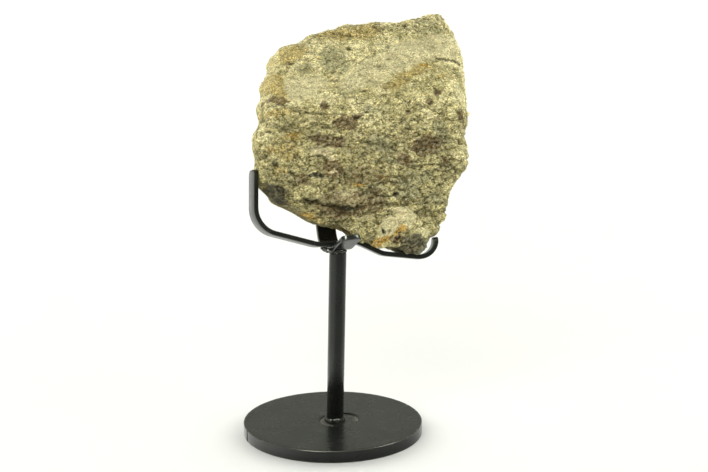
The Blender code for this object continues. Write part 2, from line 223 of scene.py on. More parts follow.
def outward() -> None:
    """In edit mode, merge doubles and turn every face outwards."""
    bpy.ops.mesh.select_all(action="SELECT")
    bpy.ops.mesh.remove_doubles(threshold=TINY / 4)
    bpy.ops.mesh.normals_make_consistent(inside=False)


def modify(item: Object, kind: str, **settings: object) -> None:
    """Add a modifier, set it and apply it.

    Args:
        item: the object.
        kind: the modifier's type.
        settings: its properties.
    """
    only(item)
    modifier = item.modifiers.new(kind.title(), kind)
    for name, value in settings.items():
        setattr(modifier, name, value)
    bpy.ops.object.modifier_apply(modifier=modifier.name)


def soften(item: Object, angle: float = 35.0) -> None:
    """Shade an object smooth, apart from its edges sharper than an angle in degrees."""
    only(item)
    bpy.ops.object.shade_smooth_by_angle(angle=math.radians(angle))


def merged_copy(node: str, name: str) -> Object:
    """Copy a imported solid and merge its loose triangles.

    Args:
        node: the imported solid's name.
        name: the copy's name.

    Returns:
        The copy.
    """
    mesh = bpy.data.objects[node].data.copy()
    item = bpy.data.objects.new(name, mesh)
    bpy.context.scene.collection.objects.link(item)
    item.data.materials.clear()
    with shaping(item):
        bpy.ops.mesh.select_all(action="SELECT")
        bpy.ops.mesh.remove_doubles(threshold=TINY / 4)
    return item


def ease(value: np.ndarray, low: float, high: float) -> np.ndarray:
    """Go smoothly from 0 at low to 1 at high, which may be the smaller of the two."""
    share = np.clip((value - low) / (high - low), 0.0, 1.0)
    return share * share * (3.0 - 2.0 * share)


def waves(angle: np.ndarray, rows: Sequence[tuple[float, int, float]]) -> np.ndarray:
    """Add up waves that run round a circle.

    Args:
        angle: the place on the circle, in radians.
        rows: each wave's height, how many of it go round, and where it starts.

    Returns:
        Their height at each angle.
    """
    return sum(height * np.sin(count * angle + start) for height, count, start in rows)


def points_of(mesh: Mesh) -> np.ndarray:
    """Return a mesh's points as rows of x, y and z."""
    flat = np.empty(len(mesh.vertices) * 3, np.float32)
    mesh.vertices.foreach_get("co", flat)
    return flat.reshape(-1, 3).astype(float)


def normals_of(mesh: Mesh) -> np.ndarray:
    """Return a mesh's vertex normals as rows of x, y and z."""
    flat = np.empty(len(mesh.vertices) * 3, np.float32)
    mesh.vertices.foreach_get("normal", flat)
    return flat.reshape(-1, 3).astype(float)


def put_points(mesh: Mesh, points: np.ndarray) -> None:
    """Move a mesh's points to the rows given."""
    mesh.vertices.foreach_set("co", points.astype(np.float32).ravel())
    mesh.update()


def keep_mask(mesh: Mesh, name: str, values: np.ndarray) -> None:
    """Store one value a point on a mesh, for its material to read."""
    layer = mesh.attributes.get(name) or mesh.attributes.new(name, "FLOAT", "POINT")
    layer.data.foreach_set("value", values.astype(np.float32))


def mark_edges(item: Object) -> None:
    """Mark the faces that a bevel left selected as rubbed, in the attribute "wear"."""
    mesh = item.data
    chosen = np.empty(len(mesh.polygons), bool)
    mesh.polygons.foreach_get("select", chosen)
    layer = mesh.attributes.new("wear_and_rise_highlight", "FLOAT", "FACE")
    layer.data.foreach_set("value", chosen.astype(np.float32))


def neighbour_mean(points: np.ndarray, edges: np.ndarray) -> np.ndarray:
    """Return the mean of each point's neighbours.

    Args:
        points: rows of x, y and z.
        edges: rows of two point numbers.

    Returns:
        Rows of x, y and z.
    """
    count = np.bincount(edges.ravel(), minlength=len(points)).clip(1)[:, None]
    total = np.zeros_like(points)
    for axis in range(3):
        for near, far in ((0, 1), (1, 0)):
            total[:, axis] += np.bincount(edges[:, near], points[edges[:, far], axis], len(points))
    return total / count


def mark_relief(
    item: Object, passes: int, full: float, names: Sequence[str] = ("cavity", "wear_and_rise_highlight")
) -> None:
    """Store how far each point lies in a hollow or on a rise.

    Args:
        item: the object.
        passes: how many rounds of smoothing the surface is compared with.
        full: the depth in metres that counts as full.
        names: what the hollows' and the rises' values are called.
    """
    mesh = item.data
    edges = np.empty(len(mesh.edges) * 2, np.int32)
    mesh.edges.foreach_get("vertices", edges)
    points = smooth = points_of(mesh)
    for _ in range(passes):
        smooth = neighbour_mean(smooth, edges.reshape(-1, 2))
    depth = ((smooth - points) * normals_of(mesh)).sum(axis=1) / full
    for name, values in zip(names, (depth, -depth)):
        keep_mask(mesh, name, np.clip(values, 0.0, 1.0))


# ---------------------------------------------------------------- materials


class Clouds(NamedTuple):
    """Procedural clouds: scale, detail, roughness, and the levels that they start and end at."""

    scale: Feed
    detail: float = 2.0
    rough: float = 0.5
    low: float = 0.0
    high: float = 1.0


class Change(NamedTuple):
    """A smooth change: the levels that it starts and ends at, and its values there."""

    low: float
    high: float
    least: float = 0.0
    most: float = 1.0


class Wiring:
    """A node tree that is wired up one node at a time."""

    def __init__(self, tree: NodeTree) -> None:
        """Take a node tree to wire."""
        self.tree = tree

    def add(self, kind: str, feeds: dict | None = None, **settings: object) -> Node:
        """Add a node.

        Args:
            kind: the node's type, without "ShaderNode" before it.
            feeds: what each input takes, a link or a constant.
            settings: the node's properties.

        Returns:
            The node.
        """
        node = self.tree.nodes.new(f"ShaderNode{kind}")
        for name, value in settings.items():
            setattr(node, name, value)
        for name, value in (feeds or {}).items():
            self.feed(node.inputs[name], value)
        return node

    def feed(self, socket: Socket, value: Feed) -> None:
        """Link an input, or set its constant."""
        if isinstance(value, Socket):
            self.tree.links.new(value, socket)
        else:
            socket.default_value = value

    def math(self, operation: str, *feeds: Feed, **settings: object) -> Socket:
        """Return the result of a Math node."""
        named = dict(enumerate(feeds))
        return self.add("Math", named, operation=operation, **settings).outputs[0]

    def plus(self, first: Feed, second: Feed) -> Socket:
        """Return a sum."""
        return self.math("ADD", first, second)

    def minus(self, first: Feed, second: Feed) -> Socket:
        """Return a difference."""
        return self.math("SUBTRACT", first, second)

    def times(self, first: Feed, second: Feed) -> Socket:
        """Return a product."""
        return self.math("MULTIPLY", first, second)

    def weighed(self, *parts: tuple[Feed, float]) -> Socket:
        """Return the sum of several values, each with its weight."""
        return reduce(self.plus, [self.times(*part) for part in parts])

    def vector(self, operation: str, *feeds: Feed) -> Socket:
        """Return the vector that a Vector Math node gives."""
        named = dict(enumerate(feeds))
        return self.add("VectorMath", named, operation=operation).outputs["Vector"]

    def measure(self, operation: str, *feeds: Feed) -> Socket:
        """Return the number that a Vector Math node gives, such as a length."""
        named = dict(enumerate(feeds))
        return self.add("VectorMath", named, operation=operation).outputs["Value"]

    def scaled(self, vector: Feed, scale: Feed) -> Socket:
        """Return a vector or a colour scaled by one value."""
        feeds = {0: vector, "Scale": scale}
        return self.add("VectorMath", feeds, operation="SCALE").outputs["Vector"]

    def part(self, vector: Socket, axis: int) -> Socket:
        """Return one part of a vector: 0 for x, 1 for y, 2 for z."""
        return self.add("SeparateXYZ", {0: vector}).outputs[axis]

    def clouds(self, where: Socket, clouds: Clouds, distortion: float = 0.0) -> Node:
        """Add a Noise Texture."""
        feeds = {
            "Vector": where, "Scale": clouds.scale, "Detail": clouds.detail,
            "Roughness": clouds.rough, "Distortion": distortion,
        }
        return self.add("TexNoise", feeds)

    def cloudy(self, where: Socket, clouds: Clouds) -> Socket:
        """Return a Noise Texture's value."""
        return self.clouds(where, clouds).outputs[0]

    def patches(
        self, where: Socket, clouds: Clouds, least: float = 0.0, most: float = 1.0
    ) -> Socket:
        """Return clouds as a smooth change from least to most between their two levels."""
        return self.ease(self.cloudy(where, clouds), clouds.low, clouds.high, least, most)

    def stretch(self, where: Socket, scale: Sequence[float], turn: float = 0.0) -> Socket:
        """Return coordinates scaled by axis, and turned about Y by an angle in degrees."""
        feeds = {"Vector": where, "Scale": scale, "Rotation": (0.0, math.radians(turn), 0.0)}
        return self.add("Mapping", feeds).outputs[0]

    def ease(
        self, value: Feed, low: Feed, high: Feed, least: Feed = 0.0, most: Feed = 1.0
    ) -> Socket:
        """Return a smooth change from least at low to most at high."""
        feeds = {
            "Value": value, "From Min": low, "From Max": high, "To Min": least, "To Max": most,
        }
        return self.add("MapRange", feeds, interpolation_type="SMOOTHSTEP").outputs[0]

    def blend(self, share: Feed, first: Feed, second: Feed, way: str = "MIX") -> Socket:
        """Return two colours mixed by a share."""
        feeds = {0: share, 6: first, 7: second}
        return self.add("Mix", data_type="RGBA", blend_type=way, feeds=feeds).outputs[2]

    def mask(self, name: str) -> Socket:
        """Return a value that the mesh keeps at its points."""
        return self.add("Attribute", attribute_name=name).outputs["Fac"]

    def group(self, tree: NodeTree, feeds: dict) -> Node:
        """Place a node group with its own values."""
        return self.add("Group", feeds, node_tree=tree)

    def bump(self, height: Socket, distance: float) -> Socket:
        """Return normals tilted by a height, whose full range is a distance in metres."""
        feeds = {"Height": height, "Distance": distance, "Strength": 1.0}
        return self.add("Bump", feeds).outputs[0]


class GroupKit:
    """The shader node groups that several finishes share.

    Attributes:
        STIR: the clouds that push coordinates about.
        CLUSTERS: detail and roughness of the clouds that speckles come from.
        SWIRL: how far those are distorted.
        CELLS: how much single grains add to them.
        PEEL: detail and roughness of the orange peel.
        RUBBED: patches where edges wear through.
        SETTLED: patches of dust.
        STREAKS: the clouds that scuffs come from.
        DRAWN_OUT: their stretch by axis, and their turn in degrees.
        LEVEL: how far up a face looks where dust begins to lie and where it lies fully.
    """

    STIR = Clouds(1.0, 3.0, 0.6)
    CLUSTERS = Clouds(1.0, 2.5, 0.62)
    SWIRL = 0.9
    CELLS = 0.35
    PEEL = Clouds(1.0, 1.5, 0.45)
    RUBBED = Clouds(420.0, 4.0, 0.65, 0.62, 0.95)
    SETTLED = Clouds(120.0, 5.0, 0.7, 0.42, 0.72)
    STREAKS = Clouds(1.0, 3.0, 0.6, 0.6, 0.74)
    DRAWN_OUT = ((60.0, 900.0, 60.0), 24.0)
    LEVEL = (0.2, 0.95)

    def __init__(self) -> None:
        """Build every group once."""
        self.warp = self._warp()
        self.speckle = self._speckle()
        self.coat = self._coat()

    @staticmethod
    def _start(name: str, takes: dict[str, float], gives: str = "") -> tuple[Wiring, list[Socket]]:
        """Start a node group that takes a place, "Where", and some numbers.

        Args:
            name: the group's name.
            takes: each number's name with its default.
            gives: the names of the numbers that it puts out, or nothing if it puts out a place.

        Returns:
            The wiring, and the group's inputs in order.
        """
        tree = bpy.data.node_groups.new(name, "ShaderNodeTree")
        vector, number = "NodeSocketVector", "NodeSocketFloat"
        tree.interface.new_socket("Where", in_out="INPUT", socket_type=vector)
        for socket, default in takes.items():
            made = tree.interface.new_socket(socket, in_out="INPUT", socket_type=number)
            made.default_value = default
        for socket in gives.split() or ["Where"]:
            kind = number if gives else vector
            tree.interface.new_socket(socket, in_out="OUTPUT", socket_type=kind)
        start = tree.nodes.new("NodeGroupInput")
        return Wiring(tree), [start.outputs[socket] for socket in ("Where", *takes)]

    @staticmethod
    def _end(wiring: Wiring, results: dict[str, Socket]) -> NodeTree:
        """Put a group's results out.

        Args:
            wiring: the group's wiring.
            results: what each output gives, by its name.

        Returns:
            The group's tree.
        """
        end = wiring.tree.nodes.new("NodeGroupOutput")
        for name, value in results.items():
            wiring.feed(end.inputs[name], value)
        return wiring.tree

    def _warp(self) -> NodeTree:
        """Return a group that pushes coordinates about with noise, for ragged edges."""
        wiring, (where, scale, push) = self._start("ragged_edges", {"Scale": 1.0, "Push": 1.0})
        stir = wiring.clouds(where, self.STIR._replace(scale=scale)).outputs["Color"]
        centred = wiring.vector("SUBTRACT", stir, (0.5, 0.5, 0.5))
        pushed = wiring.vector("ADD", where, wiring.scaled(centred, push))
        return self._end(wiring, {"Where": pushed})

    def _speckle(self) -> NodeTree:
        """Return a group of pores, whose darkness is painted shade, and of pale grains."""
        takes = {"Scale": 1.0, "Dark Level": 0.4, "Pale Level": 0.6, "Spread": 0.04}
        wiring, inputs = self._start("speckle", takes, "Dark Pale")
        where, scale, dark, pale, spread = inputs
        clusters = self.CLUSTERS._replace(scale=scale)
        clouds = wiring.clouds(where, clusters, self.SWIRL).outputs[0]
        cells = wiring.add("TexVoronoi", {"Vector": where, "Scale": scale}).outputs["Color"]
        single = wiring.add("SeparateColor", {0: cells}).outputs[0]
        grain = wiring.plus(clouds, wiring.times(wiring.minus(single, 0.5), self.CELLS))
        above_dark, above_pale = (
            wiring.ease(grain, wiring.minus(level, spread), wiring.plus(level, spread))
            for level in (dark, pale)
        )
        return self._end(wiring, {"Dark": wiring.minus(1.0, above_dark), "Pale": above_pale})

    def _coat(self) -> NodeTree:
        """Return a group with a paint film's orange peel, worn edges, settled dust and scuffs, and
        pale dust colour in hollows, which in the foot plate's dent is a painted highlight.
        """
        takes = {"Peel Scale": 1100.0, "Edge": 1.0, "Dust And Glint": 0.03, "Scuffs": 0.5}
        wiring, inputs = self._start("paint_film", takes, "Height Worn Dusty Scuffed")
        where, peel, edge, dust_and_glint, scuffs = inputs
        rubbed = wiring.times(wiring.mask("wear_and_rise_highlight"), edge)
        rubbed = wiring.plus(rubbed, wiring.cloudy(where, self.RUBBED))
        upward = wiring.part(wiring.add("NewGeometry").outputs["Normal"], 2)
        lying = wiring.times(wiring.ease(upward, *self.LEVEL), wiring.patches(where, self.SETTLED))
        # pale dust colour in hollows: a little dust on the welds, a painted highlight in the foot
        # plate's dent
        lodged_dust_and_glint = wiring.times(wiring.mask("cavity"), dust_and_glint)
        drawn = wiring.stretch(where, *self.DRAWN_OUT)
        return self._end(wiring, {
            "Height": wiring.cloudy(where, self.PEEL._replace(scale=peel)),
            "Worn": wiring.ease(rubbed, self.RUBBED.low, self.RUBBED.high),
            "Dusty": wiring.math("MAXIMUM", wiring.times(lying, dust_and_glint), lodged_dust_and_glint),
            "Scuffed": wiring.times(wiring.patches(drawn, self.STREAKS), scuffs),
        })


class Coating:
    """A material while it is being wired.

    Attributes:
        material: the material.
        wiring: its node tree.
        where: the object's coordinates.
    """

    def __init__(self, name: str) -> None:
        """Start a material by its name."""
        self.material = bpy.data.materials.new(name)
        self.material.use_nodes = True
        self.wiring = Wiring(self.material.node_tree)
        self.where = self.wiring.add("TexCoord").outputs["Object"]

    def finish(self, **feeds: Feed) -> Material:
        """Feed the shader's inputs.

        Args:
            feeds: what each input takes, by its name with a low line for each space.

        Returns:
            The material.
        """
        shader = self.material.node_tree.nodes["Principled BSDF"]
        for name, value in feeds.items():
            self.wiring.feed(shader.inputs[name.replace("_", " ")], value)
        return self.material


@dataclass(frozen=True)
class PaintFinish:
    """A sprayed black coat on steel.

    Attributes:
        name: the material's name.
        body: the coat's own colour.
        drift: the colour that the coat drifts to in broad clouds.
        worn: its colour where edges have rubbed thin.
        dust_and_glint: the colour of dust that has settled on it, also painted as a highlight in
            the foot
        plate's dent.
        rough: least and greatest roughness.
        specular: strength of its plain reflection.
        peel: height of the orange peel in metres.
        peel_scale: how fine the orange peel is.
        dusty: how much dust shows, and how strongly the painted highlight in the foot plate's
        dent shows.
        coat: strength of a glossy film over it.
        scuffs: how much its scuffs show.
        drifting: the clouds that its colour drifts in.
        matting: the clouds that its roughness follows.
        worn_share: how far its colour turns where it is worn.
        scuffed_rough: how much rougher a scuff is.
        dusty_rough: how much rougher dust is.
    """

    name: str
    body: Colour = paint(15, 17, 14)
    drift: Colour = paint(24, 26, 22)
    worn: Colour = paint(70, 70, 64)
    dust_and_glint: Colour = paint(128, 126, 112)
    rough: Pair = (0.20, 0.28)
    specular: float = 0.46
    peel: float = 0.00003
    peel_scale: float = 1100.0
    dusty: float = 0.03
    coat: float = 0.0
    scuffs: float = 0.5
    drifting: Clouds = Clouds(55.0, 4.0, 0.6, 0.35, 0.68)
    matting: Clouds = Clouds(160.0, 3.0, 0.6, 0.3, 0.7)
    worn_share: float = 0.55
    scuffed_rough: float = 0.14
    dusty_rough: float = 0.5

    def material(self, kit: GroupKit) -> Material:
        """Build the material.

        Args:
            kit: the shared node groups.

        Returns:
            The material.
        """
        coating = Coating(self.name)
        wiring, where = coating.wiring, coating.where
        feeds = {
            "Where": where, "Peel Scale": self.peel_scale, "Edge": 1.0,
            "Dust And Glint": self.dusty, "Scuffs": self.scuffs,
        }
        film = wiring.group(kit.coat, feeds).outputs
        colour = wiring.blend(wiring.patches(where, self.drifting), self.body, self.drift)
        colour = wiring.blend(wiring.times(film["Worn"], self.worn_share), colour, self.worn)
        colour = wiring.blend(film["Dusty"], colour, self.dust_and_glint)
        rough = wiring.patches(where, self.matting, *self.rough)
        rough = wiring.plus(rough, wiring.times(film["Scuffed"], self.scuffed_rough))
        dusty = wiring.times(film["Dusty"], self.dusty_rough)
        rough = wiring.math("ADD", rough, dusty, use_clamp=True)
        return coating.finish(
            Base_Color=colour, Roughness=rough, Normal=wiring.bump(film["Height"], self.peel),
            Specular_IOR_Level=self.specular, Coat_Weight=self.coat, Coat_Roughness=0.12,
        )


class Lay(NamedTuple):
    """How one mineral lies on the stone: its two tones and how fully it covers."""

    deep: Colour
    light: Colour
    cover: float


class Speckle(NamedTuple):
    """One size of speckle: its scale, its dark and pale levels, their spread and its strength."""

    scale: float
    dark: float
    pale: float
    spread: float
    strength: float


@dataclass(frozen=True)
class StoneFinish:
    """Olive-tan fossil stone with cream bone, ochre stain, brown crust and dark chips, and painted
    shade and highlights that follow its relief.

    Lengths and scales are in mm, in the cradle frame.

    Attributes:
        name: the material's name.
        tones: dark, middle and light tone of the plain stone.
        tone_shares: how much the broad, middle and bed clouds count in the tone.
        tone_levels: where the tones change.
        upward: how the tone changes with height.
        lays: how each mineral lies on it.
        dirt_and_crevice_shade: the colour of the painted shade down in cracks, pits and small
            hollows,
        and of the dark threads.
        shade: the painted shade of the pores and of broad hollows, multiplied into the colour.
        grain: a pale colour, painted on small rises as a highlight.
        gleam: how a pale grain lightens the colour round it, and the painted highlight on broad
            rises.
        rust: the colour of single rusty grains.
        lichen: the colour of single grey-green grains.
        speckles: each size of speckle.
        drawn: the stretch by axis of the speckles, and their turn.
        warps: the scale and push of each warp that makes patches ragged.
        broad: broad clouds.
        middle: smaller clouds.
        fine: the finest clouds.
        beds: the clouds of the beds.
        bed_stretch: their stretch by axis, and their turn in degrees.
        tints: the clouds that single tinted grains come from.
        threads: the clouds whose middle level makes dark threads.
        thread_stretch: their stretch and turn.
        thread: half the width of a thread, in their levels.
        thread_share: how fully it covers, from its middle to its edge.
        threaded: how the threads gather in the middle clouds.
        ragged: how much the middle, bed and fine clouds stir a mineral's edge, and what is taken
            off their sum.
        family: how the fine clouds choose between a mineral's two tones.
        mineral_edge: how strong a mineral is where it starts and where it lies fully.
        rusty: where single rusty grains lie in the tinted clouds.
        mossy: where single grey-green grains do.
        gather: how speckles gather in the middle clouds.
        kept: how much of the speckles is left as a mask grows.
        rough: how rough the stone is in the middle clouds.
        worn: each mask of its relief, how strongly it shows, its colour and its way
        of mixing; these paint shade into hollows, cracks and pits and highlights onto rises.
        grit: the clouds of its bump.
        pores: the scale of the bump's pores, how they deepen and how much they count.
        relief: the depth in metres of the bump.
    """

    name: str = "weathered_fossil_stone"
    tones: tuple = (paint(129, 122, 79), paint(194, 185, 127), paint(228, 219, 164))
    tone_shares: Triple = (0.4, 0.35, 0.25)
    tone_levels: Triple = (0.43, 0.50, 0.57)
    upward: Change = Change(15.0, 105.0, -0.045, 0.045)
    lays: dict = field(
        default_factory=lambda: {
            Mineral.GREEN: Lay(paint(122, 122, 86), paint(166, 164, 122), 0.72),
            Mineral.OCHRE: Lay(paint(164, 142, 72), paint(204, 186, 118), 0.85),
            Mineral.CREAM: Lay(paint(200, 192, 141), paint(230, 221, 172), 0.92),
            Mineral.BROWN: Lay(paint(78, 61, 38), paint(122, 99, 62), 0.90),
            Mineral.RUST: Lay(paint(176, 134, 44), paint(212, 172, 78), 0.88),
            Mineral.DARK: Lay(paint(42, 42, 34), paint(70, 68, 52), 0.97),
            Mineral.FLAKE: Lay(paint(206, 190, 140), paint(240, 228, 182), 0.96),
        }
    )
    dirt_and_crevice_shade: Colour = paint(40, 33, 16)
    shade: Colour = paint(94, 84, 64)
    grain: Colour = paint(240, 232, 184)
    gleam: Colour = (1.64, 1.64, 1.62, 1.0)
    rust: Colour = paint(190, 150, 70)
    lichen: Colour = paint(146, 150, 118)
    speckles: tuple[Speckle, ...] = (
        Speckle(0.8, 0.39, 0.61, 0.04, 0.40),
        Speckle(1.3, 0.42, 0.59, 0.04, 0.75),
        Speckle(2.2, 0.44, 0.57, 0.04, 0.90),
    )
    drawn: tuple = ((0.78, 0.78, 1.24), -14.0)
    warps: tuple = ((0.30, 5.0), (1.1, 1.6))
    broad: Clouds = Clouds(0.07, 3.0, 0.6)
    middle: Clouds = Clouds(0.33, 4.0, 0.65)
    fine: Clouds = Clouds(1.4, 2.0, 0.6)
    beds: Clouds = Clouds(1.0, 4.0, 0.6)
    bed_stretch: tuple = ((0.10, 0.10, 0.75), -12.0)
    tints: Clouds = Clouds(0.8, 3.0, 0.7)
    threads: Clouds = Clouds(1.0, 5.0, 0.62)
    thread_stretch: tuple = ((0.15, 0.15, 0.36), -10.0)
    thread: float = 0.012
    thread_share: Pair = (0.85, 0.0)
    threaded: Change = Change(0.46, 0.40)
    ragged: tuple[float, float, float, float] = (2.6, 1.6, 1.2, 1.7)
    family: Change = Change(0.36, 0.64)
    mineral_edge: Pair = (0.34, 0.54)
    rusty: Change = Change(0.56, 0.66, 0.0, 0.5)
    mossy: Change = Change(0.34, 0.44, 0.45, 0.0)
    gather: Change = Change(0.36, 0.62, 1.0, 0.55)
    kept: tuple = (
        ("calm", Change(0.0, 1.0, 1.0, 0.50)),
        (Mineral.DARK.value, Change(0.2, 0.9, 1.0, 0.15)),
    )
    rough: Change = Change(0.3, 0.7, 0.72, 0.95)
    worn: tuple = (
        ("hollow", 0.46, "shade", "MULTIPLY"), ("raised", 0.30, "gleam", "MULTIPLY"),
        ("cavity", 0.40, "dirt_and_crevice_shade", "MIX"), ("wear_and_rise_highlight", 0.30, "grain", "MIX"),
        ("sunk", 0.62, "dirt_and_crevice_shade", "MIX"),
    )
    grit: Clouds = Clouds(1.2, 4.0, 0.68)
    pores: tuple = (0.8, Change(0.05, 0.4), 0.25)
    relief: float = 0.0011

    def material(self, kit: GroupKit) -> Material:
        """Build the material.

        Args:
            kit: the shared node groups.

        Returns:
            The material.
        """
        coating = Coating(self.name)
        wiring = coating.wiring
        location, turn = CRADLE.mapping()
        feeds = {
            "Vector": coating.where, "Location": location, "Rotation": turn,
            "Scale": (1 / MM,) * 3,
        }
        laid = ragged = wiring.add("Mapping", feeds).outputs[0]
        for scale, push in self.warps:
            feeds = {"Where": ragged, "Scale": scale, "Push": push}
            ragged = wiring.group(kit.warp, feeds).outputs[0]
        broad, middle = wiring.cloudy(ragged, self.broad), wiring.cloudy(ragged, self.middle)
        fine = wiring.cloudy(laid, self.fine)
        beds = wiring.cloudy(wiring.stretch(ragged, *self.bed_stretch), self.beds)
        colour = self._plain(wiring, broad, middle, beds, wiring.part(laid, 2))
        by_middle, by_beds, by_fine, off = self.ragged
        stir = wiring.minus(wiring.weighed((middle, by_middle), (beds, by_beds)), off)
        stir = wiring.plus(stir, wiring.times(fine, by_fine))
        family = wiring.ease(fine, *self.family)
        for mineral in Mineral:
            deep, light, cover = self.lays[mineral]
            strength = wiring.times(wiring.mask(mineral.value), stir)
            share = wiring.ease(strength, *self.mineral_edge, 0.0, cover)
            colour = wiring.blend(share, colour, wiring.blend(family, deep, light))
        colour = self._speckled(wiring, kit, laid, middle, colour)
        colour = self._threaded(wiring, laid, middle, colour)
        # the relief masks paint shade into hollows, cracks and pits, and highlights onto rises
        for name, share, tint, way in self.worn:
            share = wiring.times(wiring.mask(name), share)
            colour = wiring.blend(share, colour, getattr(self, tint), way)
        return coating.finish(
            Base_Color=colour, Roughness=wiring.ease(middle, *self.rough),
            Normal=wiring.bump(self._height(wiring, laid), self.relief), Specular_IOR_Level=0.25,
        )

    def _plain(
        self, wiring: Wiring, broad: Socket, middle: Socket, beds: Socket, height: Socket
    ) -> Socket:
        """Mix the plain stone's tones.

        Args:
            wiring: the material's wiring.
            broad: broad clouds.
            middle: smaller clouds.
            beds: clouds drawn out along the beds.
            height: how high up the slab a place is, in mm.

        Returns:
            The plain stone's colour.
        """
        tone = wiring.weighed(*zip((broad, middle, beds), self.tone_shares))
        tone = wiring.plus(tone, wiring.ease(height, *self.upward))
        low, half, full = self.tone_levels
        colour = wiring.blend(wiring.ease(tone, low, half), *self.tones[:2])
        return wiring.blend(wiring.ease(tone, half, full), colour, self.tones[2])

    def _speckled(
        self, wiring: Wiring, kit: GroupKit, laid: Socket, patches: Socket, colour: Socket
    ) -> Socket:
        """Scatter tinted grains, pale grains and the painted shade of pores at several sizes over a
        colour.

        Args:
            wiring: the material's wiring.
            kit: the shared node groups.
            laid: cradle coordinates in mm.
            patches: clouds that the pores gather in.
            colour: the colour so far.

        Returns:
            The speckled colour.
        """
        tints = wiring.cloudy(laid, self.tints)
        colour = wiring.blend(wiring.ease(tints, *self.rusty), colour, self.rust)
        colour = wiring.blend(wiring.ease(tints, *self.mossy), colour, self.lichen)
        keep = wiring.ease(patches, *self.gather)
        for name, change in self.kept:
            keep = wiring.times(keep, wiring.ease(wiring.mask(name), *change))
        drawn = wiring.stretch(laid, *self.drawn)
        for scale, dark, pale, spread, strength in self.speckles:
            feeds = {
                "Where": drawn, "Scale": scale, "Dark Level": dark, "Pale Level": pale,
                "Spread": spread,
            }
            speckle, share = wiring.group(kit.speckle, feeds).outputs, wiring.times(keep, strength)
            # dark speckles are the painted shade of pores, pale speckles are pale grains
            for name, tint in (("Dark", self.shade), ("Pale", self.gleam)):
                colour = wiring.blend(wiring.times(speckle[name], share), colour, tint, "MULTIPLY")
        return colour

    def _threaded(self, wiring: Wiring, laid: Socket, patches: Socket, colour: Socket) -> Socket:
        """Draw thin dark threads over a colour.

        Args:
            wiring: the material's wiring.
            laid: cradle coordinates in mm.
            patches: clouds that the threads gather in.
            colour: the colour so far.

        Returns:
            The threaded colour.
        """
        lines = wiring.cloudy(wiring.stretch(laid, *self.thread_stretch), self.threads)
        lines = wiring.math("ABSOLUTE", wiring.minus(lines, 0.5))
        share = wiring.ease(lines, 0.0, self.thread, *self.thread_share)
        share = wiring.times(share, wiring.ease(patches, *self.threaded))
        return wiring.blend(share, colour, self.dirt_and_crevice_shade)

    def _height(self, wiring: Wiring, laid: Socket) -> Socket:
        """Return the fine height of the broken stone.

        Args:
            wiring: the material's wiring.
            laid: cradle coordinates in mm.

        Returns:
            A height from about 0 to 1.
        """
        scale, deepen, share = self.pores
        pores = wiring.add("TexVoronoi", {"Vector": laid, "Scale": scale}).outputs["Distance"]
        pores = wiring.times(wiring.ease(pores, *deepen), share)
        return wiring.plus(wiring.cloudy(laid, self.grit), pores)


@dataclass(frozen=True)
class FloorFinish:
    """Matt white card, a little warm, with faint mottling.

    Attributes:
        name: the material's name.
        bright: its lighter tone.
        dull: its duller tone.
        mottle: its mottling.
        mirrored: how bright polished faces see it in front of the stand, to its left, to its right.
        front: the way to the part of it that is in front, and how that ends round the stand.
        flanks: how far to the left and right its two sides lie.
        nearby: how much brighter they see it close by, and where that starts and is full.
    """

    name: str = "pale_card"
    bright: Colour = (0.800, 0.812, 0.757, 1.0)
    dull: Colour = (0.790, 0.802, 0.746, 1.0)
    mottle: Clouds = Clouds(3.0, 4.0, 0.6, 0.35, 0.65)
    mirrored: Triple = (0.42, 1.15, 0.78)
    front: tuple = ((0.10, -0.995, 0.0), 0.95, 0.25)
    flanks: Pair = (-0.3, 0.3)
    nearby: Triple = (1.45, 0.14, 0.06)

    def material(self) -> Material:
        """Build the material."""
        coating = Coating(self.name)
        wiring, where = coating.wiring, coating.where
        colour = wiring.blend(wiring.patches(where, self.mottle), self.dull, self.bright)
        way = wiring.vector("NORMALIZE", where)
        target, start, end = self.front
        before, left, right = self.mirrored
        flank = wiring.ease(wiring.part(way, 0), *self.flanks, left, right)
        facing = wiring.measure("DOT_PRODUCT", way, target)
        seen = wiring.ease(facing, start, end, before, flank)
        gain, far, close = self.nearby
        away = wiring.measure("LENGTH", where)
        seen = wiring.times(seen, wiring.ease(away, far, close, 1.0, gain))
        # painted reflection: polished faces see the card dimmest in front of the stand, brightest
        # to its left, and brighter close by
        glossy = wiring.add("LightPath").outputs["Is Glossy Ray"]
        colour = wiring.blend(glossy, colour, wiring.scaled(colour, seen))
        return coating.finish(Base_Color=colour, Roughness=0.9, Specular_IOR_Level=0.1)


def dress(item: Object, node: str, material: Material) -> None:
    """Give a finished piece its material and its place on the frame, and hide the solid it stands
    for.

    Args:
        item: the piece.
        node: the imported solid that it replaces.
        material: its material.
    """
    item.data.materials.clear()
    item.data.materials.append(material)
    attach(item, "root")
    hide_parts(node)
    LOG.info("%s stands for %s, %d faces", item.name, node, len(item.data.polygons))


# ---------------------------------------------------------------- the stand


